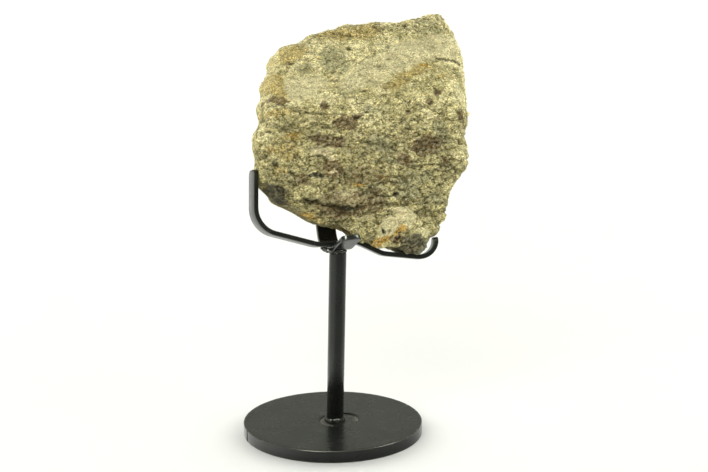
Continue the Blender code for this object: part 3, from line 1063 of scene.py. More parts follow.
@dataclass
class FootPlate:
    """The round steel plate that the stand is on, with the dent that welding left round its post,
    and a painted highlight on the dent's wall.

    Attributes:
        radius: the plate's radius.
        thickness: its thickness.
        edge: the width of its broken edge.
        sides: how many flats make the round.
        margin: how wide the plain edge of its top is.
        recess: how far in its underside is recessed, and how deep.
        zone: the inner and outer radius of the part that the dent lies in.
        step: how far apart the circles are that shape the dent.
        centre: the middle of the dent.
        rim: the dent's radius.
        wander: the waves of its rim.
        wall: the width of its steep wall.
        slope: the width of its slope.
        depth: its depth.
        deep_ways: the ways where it is deep, in radians, each with the cosine where that starts.
        dusty: how much more strongly the pale dust colour shows in it than elsewhere, as a
            painted highlight.
        lodged_dust_and_glint: how far from the rim that painted highlight reaches, in widths of the
            wall.
        seam: how deep the rolled edge's seam is.
        seam_angles: how far round the edge it is deepest and ends, in degrees.
        pinch: how much of that width is left once its sides are drawn together.
    """

    radius: float = 0.0508
    thickness: float = 0.0069
    edge: float = 0.0006
    sides: int = 192
    margin: float = 0.0022
    recess: Pair = (0.0040, 0.0004)
    zone: Pair = (0.0045, 0.0170)
    step: float = 0.00035
    centre: Pair = (0.0036, -0.0012)
    rim: float = 0.0119
    wander: tuple = ((0.0005, 2, 0.4), (0.0002, 5, 0.0))
    wall: float = 0.0008
    slope: float = 0.0046
    depth: float = 0.00090
    deep_ways: tuple = ((0.44, 0.35), (3.1, 0.40))
    dusty: float = 30.0
    lodged_dust_and_glint: float = 1.6
    seam: float = 0.0020
    seam_angles: Pair = (0.5, 2.5)
    pinch: float = 0.65

    def build(self) -> Object:
        """Model the plate and return it."""
        bpy.ops.mesh.primitive_cylinder_add(
            vertices=self.sides, radius=self.radius, depth=self.thickness,
            location=(0, 0, self.thickness / 2),
        )
        item = take("foot_plate")
        away, depth = self.recess
        inner, outer = self.zone
        with shaping(item):
            pick(item, Pick.FACES, lambda face: face.normal.z < -0.9 and len(face.verts) > 8)
            bpy.ops.mesh.inset(thickness=away, depth=0.0)
            bpy.ops.mesh.inset(thickness=depth, depth=-depth)
            pick(item, Pick.FACES, lambda face: face.normal.z > 0.9 and len(face.verts) > 8)
            bpy.ops.mesh.inset(thickness=self.margin, depth=0.0)
            bpy.ops.mesh.inset(thickness=self.radius - self.margin - outer, depth=0.0)
            for _ in range(round((outer - inner) / self.step)):
                bpy.ops.mesh.inset(thickness=self.step, depth=0.0)
            pick(item, Pick.EDGES, self._is_rim)
            bpy.ops.mesh.bevel(offset=self.edge, segments=4, affect="EDGES")
        mark_edges(item)
        points = points_of(item.data)
        self._press_dent(item.data, points)
        self._cut_seam(points)
        put_points(item.data, points)
        soften(item, 30.0)
        return item

    def _is_rim(self, edge: bmesh.types.BMEdge) -> bool:
        """Say whether an edge runs round the plate's top or bottom."""
        level = abs(edge.verts[0].co.z - edge.verts[1].co.z) < TINY
        return level and all(vertex.co.xy.length > self.radius - TINY for vertex in edge.verts)

    def _press_dent(self, mesh: Mesh, points: np.ndarray) -> None:
        """Press in the dent round the post, and mark the painted highlight near its wall.

        Args:
            mesh: the plate's mesh, which keeps the mark.
            points: its points, which are moved.
        """
        away = points[:, :2] - np.array(self.centre)
        reach, angle = np.hypot(*away.T), np.arctan2(away[:, 1], away[:, 0])
        rim = self.rim + waves(angle, self.wander)
        foot = rim - self.wall
        dent = ease(reach, rim, foot) * np.clip((reach - foot + self.slope) / self.slope, 0, 1)
        dent_share = sum(ease(np.cos(angle - way), low, 0.9) for way, low in self.deep_ways)
        on_top = points[:, 2] > self.thickness - TINY
        points[:, 2] -= np.where(on_top, self.depth * dent * dent_share, 0.0)
        # painted highlight: pale dust colour near the dent's wall, on the two sides where it is
        # deep
        lodged_dust_and_glint = dent**3 * ease(reach, foot, rim - self.lodged_dust_and_glint * self.wall)
        keep_mask(mesh, "cavity", np.where(on_top, lodged_dust_and_glint * dent_share * self.dusty, 0.0))

    def _cut_seam(self, points: np.ndarray) -> None:
        """Cut the rolled edge's seam, on the plate's left.

        Args:
            points: the plate's points, which are moved.
        """
        x, y = points[:, 0], points[:, 1]
        turn = np.abs(np.degrees(np.arctan2(y, -x)))
        on_side = np.hypot(x, y) > self.radius - TINY
        deepest, end = self.seam_angles
        x[on_side & (turn < deepest)] += self.seam
        y[on_side & (turn > deepest) & (turn < end)] *= self.pinch


@dataclass
class Post:
    """The round rod from the plate to the cradle, its top cut to the straps' slope.

    Attributes:
        radius: the rod's radius.
        foot: the middle of its lower end.
        top_gap: how far its cut top stays under the straps.
        shoulder: the radius that its top was ground to.
        edge: the width of its other edges' bevel.
    """

    radius: float = 0.0048
    foot: Triple = (0.0012, -0.0004, 0.00735)
    top_gap: float = 0.0003
    shoulder: float = 0.0019
    edge: float = 0.0002

    def build(self) -> Object:
        """Model the rod and return it."""
        foot, hub = Vector(self.foot), Vector(CRADLE.hub)
        way = (hub - foot).normalized()
        length = (hub - foot).length + self.radius
        bpy.ops.mesh.primitive_cylinder_add(
            vertices=96, radius=self.radius, depth=length, location=foot + way * length / 2,
            rotation=way.to_track_quat("Z", "Y").to_euler(),
        )
        item = take("post_rod")
        up = CRADLE.matrix().to_3x3() @ Vector((0, 0, 1))
        with shaping(item):
            bpy.ops.mesh.select_all(action="SELECT")
            bpy.ops.mesh.bisect(
                plane_co=hub - up * self.top_gap, plane_no=up, use_fill=True, clear_outer=True
            )
            pick(item, Pick.EDGES, lambda edge: is_sharp(edge) and edge.verts[0].co.z > hub.z / 2)
            bpy.ops.mesh.bevel(offset=self.shoulder, segments=6, affect="EDGES")
            pick(item, Pick.EDGES, is_sharp)
            bpy.ops.mesh.bevel(offset=self.edge, segments=2, affect="EDGES")
        mark_edges(item)
        soften(item)
        return item


@dataclass
class WeldRing:
    """The bead that holds the post to the plate.

    Attributes:
        centre: the middle of its underside.
        radius: the radius of its middle line.
        width: how wide its section is.
        height: how high its section is.
        sunk: how far under its middle it is cut off.
        ripples: how many weld ripples run round it.
        stir: how unevenly they are spaced, in radians.
        ripple: how high they are.
        swell: the waves of its outside.
        roll: the waves of its top.
        lift: how much higher the ripples are on its top.
        band: how far from its middle line its outside starts.
        crown: how high over its underside its top starts.
    """

    centre: Triple = (0.0012, -0.0004, 0.0072)
    radius: float = 0.0050
    width: float = 0.0017
    height: float = 0.0034
    sunk: float = 0.0002
    ripples: int = 7
    stir: float = 1.1
    ripple: float = 0.00016
    swell: tuple = ((0.00018, 2, 0.7), (0.00014, 5, 2.0))
    roll: tuple = ((0.0002, 3, 0.4),)
    lift: float = 1.2
    band: float = 0.0006
    crown: float = 0.0012

    def build(self) -> Object:
        """Model the bead and return it."""
        middle = Vector(self.centre) + Vector((self.radius, 0, 0))
        bpy.ops.mesh.primitive_circle_add(
            vertices=20, radius=self.width / 2, fill_type="NGON", location=middle,
            rotation=(math.pi / 2, 0, 0),
        )
        item = take("foot_bead")
        with shaping(item):
            bpy.ops.mesh.select_all(action="SELECT")
            size = (1.0, 1.0, self.height / self.width)
            bpy.ops.transform.resize(value=size, center_override=middle)
            bpy.ops.mesh.spin(steps=120, angle=math.tau, center=self.centre, axis=(0, 0, 1))
            bpy.ops.mesh.select_all(action="SELECT")
            bpy.ops.mesh.remove_doubles(threshold=TINY)
            pick(item, Pick.FACES, lambda face: len(face.verts) > 4)
            bpy.ops.mesh.delete(type="FACE")
            outward()
            bpy.ops.mesh.bisect(
                plane_co=(0, 0, self.centre[2] - self.sunk), plane_no=(0, 0, 1), use_fill=True,
                clear_inner=True,
            )
        self._ripple(item.data)
        soften(item, 60.0)
        mark_relief(item, 4, 0.0003)
        return item

    def _ripple(self, mesh: Mesh) -> None:
        """Push the ring in and out like the ripples of a hand-made weld.

        Args:
            mesh: the ring's mesh.
        """
        points = points_of(mesh)
        away = points - np.array(self.centre)
        angle = np.arctan2(away[:, 1], away[:, 0])
        reach = np.hypot(away[:, 0], away[:, 1])
        beat = np.sin(angle * self.ripples + self.stir * np.sin(3 * angle)) * self.ripple
        outside = ease(reach, self.radius - self.band, self.radius + self.band)
        push = (beat + waves(angle, self.swell)) * outside
        points[:, :2] += away[:, :2] / reach[:, None] * push[:, None]
        top = ease(points[:, 2], self.centre[2], self.centre[2] + self.crown)
        points[:, 2] += top * (beat * self.lift + waves(angle, self.roll))
        put_points(mesh, points)


@dataclass
class WeldKnob:
    """The lumpy weld under the cradle, with its knob on the left of the post.

    Attributes:
        lumps: each of the knob's lumps, its centre in the cradle frame and its radius, in mm.
        collar: the bead round the post's top: half its width and depth, its height and the
            radius of its lumps, in mm.
        collar_steps: the first and last of its lumps, in eighths of a radian.
        squash: how wide, deep and high a lump is for its radius.
        cell: the size of the cells that the lumps are melted together with.
        bumps: the size and the height of the bumps on it.
    """

    lumps: tuple = (
        ((-6.4, -2.8, 0.4), 1.7), ((-8.2, -1.8, 1.3), 1.4), ((-5.6, -4.2, -0.3), 1.3),
        ((-4.9, -2.2, -0.9), 1.2), ((-9.4, -0.8, 1.9), 0.9),
    )
    collar: tuple[float, float, float, float] = (4.0, 4.1, -0.75, 0.85)
    collar_steps: tuple[int, int] = (-19, 0)
    squash: Triple = (1.15, 1.0, 0.85)
    cell: float = 0.00028
    bumps: Pair = (0.0016, 0.0007)

    def build(self) -> Object:
        """Model the weld and return it."""
        made = []
        for centre, radius in (*self.lumps, *self._collar()):
            deselect()
            bpy.ops.mesh.primitive_ico_sphere_add(
                subdivisions=3, radius=radius * MM, location=Vector(centre) * MM
            )
            bpy.context.object.scale = self.squash
            made.append(bpy.context.object)
        only(made[0])
        for item in made:
            item.select_set(True)
        bpy.ops.object.join()
        item = take("hub_bead")
        modify(item, "REMESH", mode="VOXEL", voxel_size=self.cell)
        modify(item, "SMOOTH", factor=0.6, iterations=4)
        texture = bpy.data.textures.new("weld_lumps", "CLOUDS")
        texture.noise_scale, height = self.bumps
        modify(item, "DISPLACE", texture=texture, strength=height, mid_level=0.5)
        item.data.transform(CRADLE.matrix())
        soften(item, 80.0)
        mark_relief(item, 6, 0.0002)
        return item

    def _collar(self) -> list[tuple]:
        """Return the lumps of the bead round the front of the post's top."""
        wide, deep, height, radius = self.collar
        first, last = self.collar_steps
        turns = [step / 8 for step in range(first, last + 1)]
        return [((wide * math.cos(turn), deep * math.sin(turn), height), radius) for turn in turns]


class Run(NamedTuple):
    """A straight stretch of a strap."""

    length: float


class Bend(NamedTuple):
    """A stretch of a strap that turns up at a radius, or down for an angle below zero."""

    radius: float
    angle: float


def bend(radius: float, degrees: float) -> Bend:
    """Return a bend whose angle is given in degrees."""
    return Bend(radius, math.radians(degrees))


@dataclass
class Strap:
    """A flat bar bent in a jig, in the cradle frame.

    Attributes:
        name: the piece's name.
        node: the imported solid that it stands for.
        start: where its middle line starts, as (along, height).
        heading: its first direction above level, in radians.
        moves: its runs and bends in order.
        yaw: its turn about the cradle's upright, in radians.
        round_start: whether its first end is rounded like its last.
        mitre: the slant of its first end, in radians.
        width: the bar's width.
        thickness: the bar's thickness.
        corner: the radius of its rounded ends.
        edge: the radius of its long edges.
        longest_step: the longest step that it is extruded by.
        tip_step: the longest step near its rounded ends.
        bend_step: the longest step in a bend, in radians.
    """

    name: str
    node: str
    start: Pair
    heading: float
    moves: tuple[Run | Bend, ...]
    yaw: float
    round_start: bool = False
    mitre: float = 0.0
    width: float = 0.0110
    thickness: float = 0.0026
    corner: float = 0.0034
    edge: float = 0.0003
    longest_step: float = 0.0030
    tip_step: float = 0.00045
    bend_step: float = math.radians(2.5)

    def build(self) -> Object:
        """Bend the bar and return it."""
        spot = Vector((self.start[0], 0.0, self.start[1]))
        bpy.ops.mesh.primitive_plane_add(
            size=1.0, location=spot, rotation=(0.0, math.pi / 2 - self.heading, 0.0)
        )
        item = take(self.name)
        with shaping(item):
            self._extrude(item, spot)
            outward()
            if self.mitre:
                slant = Vector((math.cos(self.mitre), math.sin(self.mitre), 0.0))
                bpy.ops.mesh.bisect(
                    plane_co=spot, plane_no=slant, use_fill=True, clear_inner=True
                )
            pick(item, Pick.EDGES, is_sharp)
            bpy.ops.mesh.bevel(offset=self.edge, segments=3, affect="EDGES", clamp_overlap=True)
        mark_edges(item)
        item.data.transform(CRADLE.matrix() @ Matrix.Rotation(self.yaw, 4, "Z"))
        soften(item, 40.0)
        return item

    def _extrude(self, item: Object, spot: Vector) -> None:
        """Extrude the bar step by step from its first section.

        Args:
            item: the bar in edit mode, as yet a unit square.
            spot: the middle of that square.
        """
        bpy.ops.mesh.select_all(action="SELECT")
        way = Vector((math.cos(self.heading), 0.0, math.sin(self.heading)))
        steps = self._steps()
        total, gone = sum(self._reach(step) for step in steps), 0.0
        width = self._width_at(gone, total)
        self._size_section(item, spot, Vector((-way.z, 0.0, way.x)), width)
        for step in steps:
            spot, way = self._press(step, spot, way)
            gone += self._reach(step)
            wanted = self._width_at(gone, total)
            if abs(wanted - width) > TINY / 100:
                bpy.ops.transform.resize(
                    value=(1.0, wanted / width, 1.0), center_override=spot, orient_type="GLOBAL"
                )
                width = wanted

    def _size_section(self, item: Object, spot: Vector, up: Vector, width: float) -> None:
        """Bring the first section, a unit square, to the bar's size.

        Args:
            item: the bar in edit mode.
            spot: the middle of the section.
            up: the way across the bar's thickness.
            width: how wide the section gets.
        """
        shape = bmesh.from_edit_mesh(item.data)
        for vertex in shape.verts:
            away = vertex.co - spot
            across = Vector((0.0, away.y * width, 0.0))
            vertex.co = spot + up * away.dot(up) * self.thickness + across
        bmesh.update_edit_mesh(item.data)

    def _steps(self) -> list[Run | Bend]:
        """Return the moves cut into short steps, finest near the rounded ends."""
        total = sum(self._reach(move) for move in self.moves)
        steps, gone = [], 0.0
        for move in self.moves:
            left = self._reach(move)
            while left > 0.0:
                near_end = total - gone < self.corner + self.longest_step
                near_start = self.round_start and gone < self.corner
                limit = self.tip_step if near_end or near_start else self.longest_step
                if isinstance(move, Bend):
                    limit = min(limit, move.radius * self.bend_step)
                size = left if left < 1.25 * limit else limit
                if isinstance(move, Bend):
                    angle = math.copysign(size / move.radius, move.angle)
                    steps.append(Bend(move.radius, angle))
                else:
                    steps.append(Run(size))
                left -= size
                gone += size
        return steps

    @staticmethod
    def _reach(move: Run | Bend) -> float:
        """Return how long a move is along the bar."""
        return move.length if isinstance(move, Run) else move.radius * abs(move.angle)

    def _width_at(self, gone: float, total: float) -> float:
        """Work out how wide the bar is, which is less near its rounded ends.

        Args:
            gone: how far along the bar the place is.
            total: how long the bar is.

        Returns:
            Its width there.
        """
        to_end = min(total - gone, gone) if self.round_start else total - gone
        short = max(self.corner - max(to_end, 0.0), 0.0)
        return self.width - 2 * (self.corner - math.sqrt(self.corner**2 - short**2))

    @staticmethod
    def _press(step: Run | Bend, spot: Vector, way: Vector) -> tuple[Vector, Vector]:
        """Extrude the selected section by one step.

        Args:
            step: the run or bend.
            spot: the middle of the section.
            way: the bar's direction there.

        Returns:
            The new middle and the new direction.
        """
        if isinstance(step, Run):
            move = way * step.length
            bpy.ops.mesh.extrude_region_move(TRANSFORM_OT_translate={"value": move})
            return spot + move, way
        up = Vector((-way.z, 0.0, way.x))
        centre = spot + up * math.copysign(step.radius, step.angle)
        bpy.ops.mesh.spin(steps=1, angle=-step.angle, center=centre, axis=(0.0, -1.0, 0.0))
        turn = Matrix.Rotation(-step.angle, 3, "Y")
        return centre + turn @ (spot - centre), turn @ way


@dataclass
class CradleStraps:
    """The three flat bars that hold the fossil.

    Attributes:
        thickness: the bars' thickness.
        gap: how far apart they stay where they meet.
        left: the left arm's runs and bends, from the hub.
        right: the right arm's.
        mitre: how far the right arm is turned to the front, in degrees.
        lip_end: how far in front of the hub the lip ends.
        flat: how long the flat part in front of the hub is.
        lip_bend: the bend between the flat and the lip.
        upright: the rest of the spine, from the hub to the top of the back upright.
    """

    thickness: float = 0.0026
    gap: float = 0.0003
    left: tuple = (
        Run(0.0100), bend(0.0140, 18.5), Run(0.0229), bend(0.0145, 77.0), Run(0.0207),
    )
    right: tuple = (
        Run(0.0070), bend(0.0120, -30.0), Run(0.0109), bend(0.0120, 19.5), Run(0.0177),
        bend(0.0093, 102.0), Run(0.0006),
    )
    mitre: float = math.radians(14.0)
    lip_end: float = 0.0265
    flat: float = 0.0060
    lip_bend: Bend = bend(0.0150, 15.0)
    upright: tuple = (Run(0.0066), bend(0.0105, 84.0), Run(0.0345))

    def bars(self) -> list[Strap]:
        """Return the bars, ready to bend."""
        radius, rise = self.lip_bend
        lip = self.lip_end - self.flat - radius * math.sin(rise)
        height = self.thickness / 2 + lip * math.tan(rise) + radius * (1 - math.cos(rise))
        back, *rest = self.upright
        spine = (Run(lip / math.cos(rise)), self.lip_bend, Run(self.flat + back.length), *rest)
        side = (self.gap / 2, self.thickness * 1.5 + self.gap)
        front = (-self.lip_end, height)
        return [
            Strap("left_strap", "left_arm", side, 0.0, self.left, math.pi),
            Strap("right_strap", "right_arm", side, 0.0, self.right, -self.mitre, mitre=self.mitre),
            Strap("spine_bar", "spine_strap", front, -rise, spine, math.pi / 2, round_start=True),
        ]


# ---------------------------------------------------------------- the fossil


class Spot(NamedTuple):
    """An oval place on the fossil's front, in mm: middle, half-axes, turn in degrees, amount."""

    x: float
    z: float
    wide: float
    tall: float
    turn: float = 0.0
    amount: float = 1.0


class Line(NamedTuple):
    """A crooked line on the fossil's front, in mm: points as (x, z), half-width and amount."""

    points: tuple
    width: float
    amount: float


def spots(*rows: Sequence[float]) -> tuple[Spot, ...]:
    """Make ovals of rows that hold their values in order."""
    return tuple(Spot(*row) for row in rows)


def lines(*rows: tuple) -> tuple[Line, ...]:
    """Make crooked lines of rows that hold their values in order."""
    return tuple(Line(*row) for row in rows)


CRACKS = lines(
    (((-41.5, 81.6), (-38.9, 80.6), (-34.9, 80.4), (-30, 79.3),
      (-23.5, 76.3), (-18, 75.6)), 1.1, 0.9),
    (((-18, 75.6), (-10.9, 74.4), (-2, 74.2), (4.2, 72.9)), 0.9, 0.8),
    (((-13.3, 69.5), (-7, 68), (1.6, 62.4)), 0.9, 0.8),
    (((12.5, 97.5), (15, 100.5), (18.4, 103.2), (23.2, 105.1)), 0.8, 0.7),
    (((62.5, 102.2), (65.7, 101.6), (70.9, 101.3), (76.1, 101),
      (80.1, 99.6), (82, 97.5)), 1.1, 1.3),
    (((27, 86), (31.9, 87), (35.8, 88.6)), 0.8, 0.6),
    (((-15, 107.9), (-10, 108.4), (-5.7, 108)), 0.7, 0.5),
    (((10, 117.7), (15, 118.2), (21, 116.7)), 0.8, 0.7),
    (((45, 49.9), (51, 49.2), (57.8, 48.2), (61.8, 43)), 0.8, 0.7),
    (((38.2, 41.7), (45.3, 42.6), (52, 42.8), (61.4, 40.7)), 0.9, 0.9),
    (((-4, 44), (-3.2, 40), (-3, 36)), 0.7, 0.6),
    (((18, 27.8), (24, 27), (29.6, 27.8)), 0.9, 0.8),
)
RIDGES = lines(
    (((-17.2, 52.9), (-14.3, 54.6), (-11, 54.7), (-8.3, 53.9), (-5.6, 51.5)), 1.1, 0.7),
    (((-7.4, 47.4), (-5.3, 46.4), (-3.2, 45.9)), 0.9, 0.7),
    (((-7, 42.2), (-4.3, 44.3)), 1, 0.8),
    (((-20.5, 30.2), (-14.4, 28.6), (-10.3, 26.8)), 0.9, 0.6),
)
SHELVES = lines(
    (((-21, 29.2), (-14.4, 27.5), (-10.3, 25.6), (-6.9, 24.8),
      (-0.5, 23.4), (5.9, 23.2), (9.5, 23)), 3, 1.7),
    (((21, 35.2), (26.7, 35.4), (33.5, 34.2)), 2.2, 1.1),
    (((42, 30.9), (47.5, 30.6)), 1.6, 0.8),
    (((14, 21), (22, 22.5), (28, 24)), 1.8, 0.7),
)
PITS = spots(
    (-22.5, 102.7, 2.6, 1.1, 25), (-2.5, 102.7, 1.3, 1.1, 0, 0.9), (0.5, 97.1, 1.5, 1.1, 0, 0.9),
    (11.8, 110.3, 1.3, 1, 0, 0.9), (2.1, 92.5, 1.1, 0.9, 0, 0.7), (-7, 78, 3.2, 1.7, -10, 0.8),
    (50, 122.3, 2.1, 1.1, -30), (65.2, 127.3, 1.8, 0.8, -15, 0.8), (33.2, 102.3, 1.1, 1, 0, 0.7),
    (27.7, 99.3, 1, 0.9, 0, 0.6), (34.5, 102.9, 1, 0.8, 0, 0.6), (60.4, 82.9, 2.2, 1.6, 0, 0.9),
    (55.5, 77.2, 2.6, 1.4, 0, 0.9), (40.9, 73.1, 1.7, 1.3, 0, 1.1), (10.7, 71.4, 2.7, 1.7),
    (16, 69.8, 1.5, 1.3, 0, 0.8), (-15.2, 40.6, 3.1, 1.9, -15, 1.1), (-34.5, 33.5, 7.2, 3.4, -38),
    (36, 46.5, 4.6, 2.6, -20, 0.9), (-6, 44.5, 5, 4.6, 0, 0.7), (29.6, 27.8, 1.5, 1.4, 0, 1.8),
    (34.3, 25.9, 1.1, 1, 0, 1.1), (19.2, 8, 0.9, 3, 20, 1.9), (23, 7.8, 1, 1.3, 0, 1.5),
    (28.2, 4.2, 2.7, 1.4, 5, 1.3), (-1, 20.4, 8, 2.6, -8, 0.9), (4.5, 68, 5.5, 3.4, -8, 0.6),
    (-36.8, 48.5, 1.6, 2, 0, 1.2), (17, 30.5, 4, 3, 0, 0.8), (24.5, 20, 3.2, 2.2, 20, 0.8),
)
FLAKES = spots(
    (0.3, 28.4, 6.8, 3.7, -3, 0.8), (33, 15.6, 7, 5, -30, 0.9), (22.3, 9.6, 7.2, 4.4, 40, 0.8),
    (43.4, 5.4, 4.2, 2.3, -28, 0.7), (49.5, 53.6, 8.2, 3.2, 12, -0.7), (-19, 88, 9, 5.5, -15, 0.4),
    (31, 47.5, 5, 4, -30, 0.5), (43, 36.5, 7.5, 3.6, -6, 0.5), (54, 33, 5.5, 4, -20, 0.4),
)
STAINS = {
    Mineral.CREAM: spots(
        (-19, 88, 10.5, 6.8, -15, 1.2), (-10.5, 91.5, 7, 4, 10, 0.9), (26, 98, 15, 6.8, 20, 1.2),
        (44, 104.8, 16, 7.4, 14, 1.2), (64, 109.5, 16, 7.4, 6, 1.1), (13.5, 92.5, 10, 6, 20),
        (74.5, 103.8, 5, 3.6, -30, 0.7), (0.3, 28.2, 7.4, 4.2, -3), (33, 15.5, 7.6, 5.4, -30),
        (22.5, 9.6, 7.6, 4.8, 40, 0.95), (-11.2, 54.4, 7, 2.2, -4, 2),
        (-5.3, 46.6, 3.4, 1.5, -18, 2), (-5.7, 43.2, 2.8, 1.6, 38, 2), (75.5, 82, 3, 6.4, 14, 0.7),
        (43.4, 5.4, 4.4, 2.4, -28, 0.9), (-15, 28.8, 6.5, 1.2, -14, 0.7),
    ),
    Mineral.GREEN: spots(
        (2, 104, 9.5, 8, 0, 0.8), (37, 109.5, 5.5, 2.4, -5, 0.9), (37.2, 27.6, 6, 3.4, -5, 1.1),
        (53, 23.5, 4.5, 4, -50, 0.9), (64, 121, 10, 6, -15, 0.5), (-15, 100, 6, 3, 20, 0.6),
        (17, 28, 9, 7, -10, 0.7), (8, 86, 8, 4, 0, 0.5), (44, 36, 9, 5, 0, 0.6),
        (21.9, 57, 8, 3.6, -8, 0.9), (22.6, 52.6, 10, 1.8, -8, 1.3), (38.5, 31.9, 8, 2.2, -32, 1.2),
        (29.1, 46.3, 7, 1.5, -24, 1.2), (60, 60, 6, 9, 10, 0.6), (20, 75, 9, 3, 8, 0.6),
    ),
    Mineral.OCHRE: spots(
        (-26, 62.4, 7, 2.4, 0, 0.95), (-38, 56.3, 4, 2.4, 0, 0.8), (54.2, 98.6, 3.2, 1.6, -25, 0.9),
        (63.5, 92.5, 3.6, 1.5, -10, 0.8), (-18, 20.3, 3.4, 2.2, 0, 0.95),
        (-13.5, 17.2, 3.4, 2, -20, 0.95), (-33, 92, 5, 12, 8, 0.75), (-22, 108, 12, 4.4, 25, 0.7),
        (15, 119, 24, 4.4, 4, 0.7), (48, 95.5, 14, 3, 14, 0.7), (36, 89, 9, 2.6, 15, 0.7),
        (-33, 76, 8, 3, 0, 0.6), (-30, 55, 9, 6, 0, 0.55), (9, 33, 5, 2, 0, 0.6),
        (22, 38, 5, 3, 0, 0.6), (-35, 45, 5, 4, 0, 0.6),
    ),
    Mineral.RUST: spots(
        (29.8, 8.2, 4, 2.1, 15, 1.4), (20.5, 2.9, 4.6, 2.1, 15, 1.4), (-18, 20.3, 2.6, 1.6, 0, 0.7),
        (54.2, 98.6, 2.4, 1.3, -25, 0.7), (-26, 62.4, 3.4, 1.6, 0, 0.6), (9, 33, 3, 1.4, 0, 0.6),
    ),
    Mineral.BROWN: spots(
        (49.5, 53.6, 9.4, 4.4, 12, 1.3), (-33, 82.4, 6, 2.2, -5, 0.95),
        (4.5, 68, 7.5, 4.8, -8, 0.8), (-7.5, 59.3, 12, 3.6, -6, 0.8), (-5.6, 43.8, 6, 6.4, 0, 0.9),
        (-7.3, 77.6, 3.8, 2.3, -8, 0.8), (74.5, 68, 3, 5.4, 25, 0.8), (36, 46.4, 6, 2.8, -25, 0.95),
        (40.9, 73.1, 2.3, 1.7, 0, 0.8), (60.4, 82.9, 3.4, 2.6, 0, 0.8),
        (55.5, 77, 3.6, 1.8, 0, 0.8), (10.5, 71.2, 3.6, 2.4, 0, 0.8), (-1, 20.5, 10, 3.6, -8, 0.85),
        (28.2, 4, 4.4, 1.9, 5, 1.2), (17, 27, 7, 6, -10, 0.6), (-24, 39, 7, 4, 0, 0.55),
        # the broad, faint brown ovals here darken the lower half of the slab
        (61, 43.5, 3, 3, 0, 0.6), (2, 24, 24, 9, -10, 0.5), (14, 38, 22, 8, -6, 0.42),
        (40, 60, 16, 8, 0, 0.36), (-30, 24, 12, 5, -40, 0.5),
    ),
    Mineral.DARK: spots(
        (-35.6, 32.2, 7.6, 3, -48, 1.2), (-15.4, 40.4, 4.2, 2.2, -12), (38, -1, 7.6, 5.4, -15, 1.5),
        (29.6, 27.8, 1.4, 1.3), (19.2, 8, 0.8, 2.6, 20, 0.9), (11.8, 110.3, 1.2, 0.9, 0, 0.8),
        # the thin dark strip just under the main shelf is a painted shadow
        (2, 21.8, 6, 1.4, -6, 0.8),
    ),
    Mineral.FLAKE: spots(
        (-17.3, 53.3, 1.5, 0.6, 25, 2.6), (-14.2, 54.1, 1.7, 0.7, 5, 2.6),
        (-11, 53.2, 1.6, 0.8, -15, 2.6), (-7.7, 52.4, 1.8, 0.7, 10, 2.6),
        (-5, 50.2, 0.8, 1.5, 15, 2.6), (-6.4, 45.6, 1.5, 0.6, -30, 2.4),
        (-4.9, 42.4, 0.7, 1.4, 20, 2.4), (-7.6, 41.3, 1.2, 0.6, 0, 2.2), (66, 47, 1.4, 0.7, 40, 2),
        (12, 61, 1.2, 0.6, 20, 2), (31, 18.5, 3.4, 1, -35, 2.2), (28, 13, 3, 0.9, 35, 2),
    ),
}


class Grain(NamedTuple):
    """One size of broken surface: clouds pressed into the fossil.

    Their size and height are in metres. They lie where a vertex group says, are sharp if creased,
    and are drawn out along the beds by the factor flat.
    """

    size: float
    height: float
    where: str
    creased: bool = False
    flat: float = 1.0


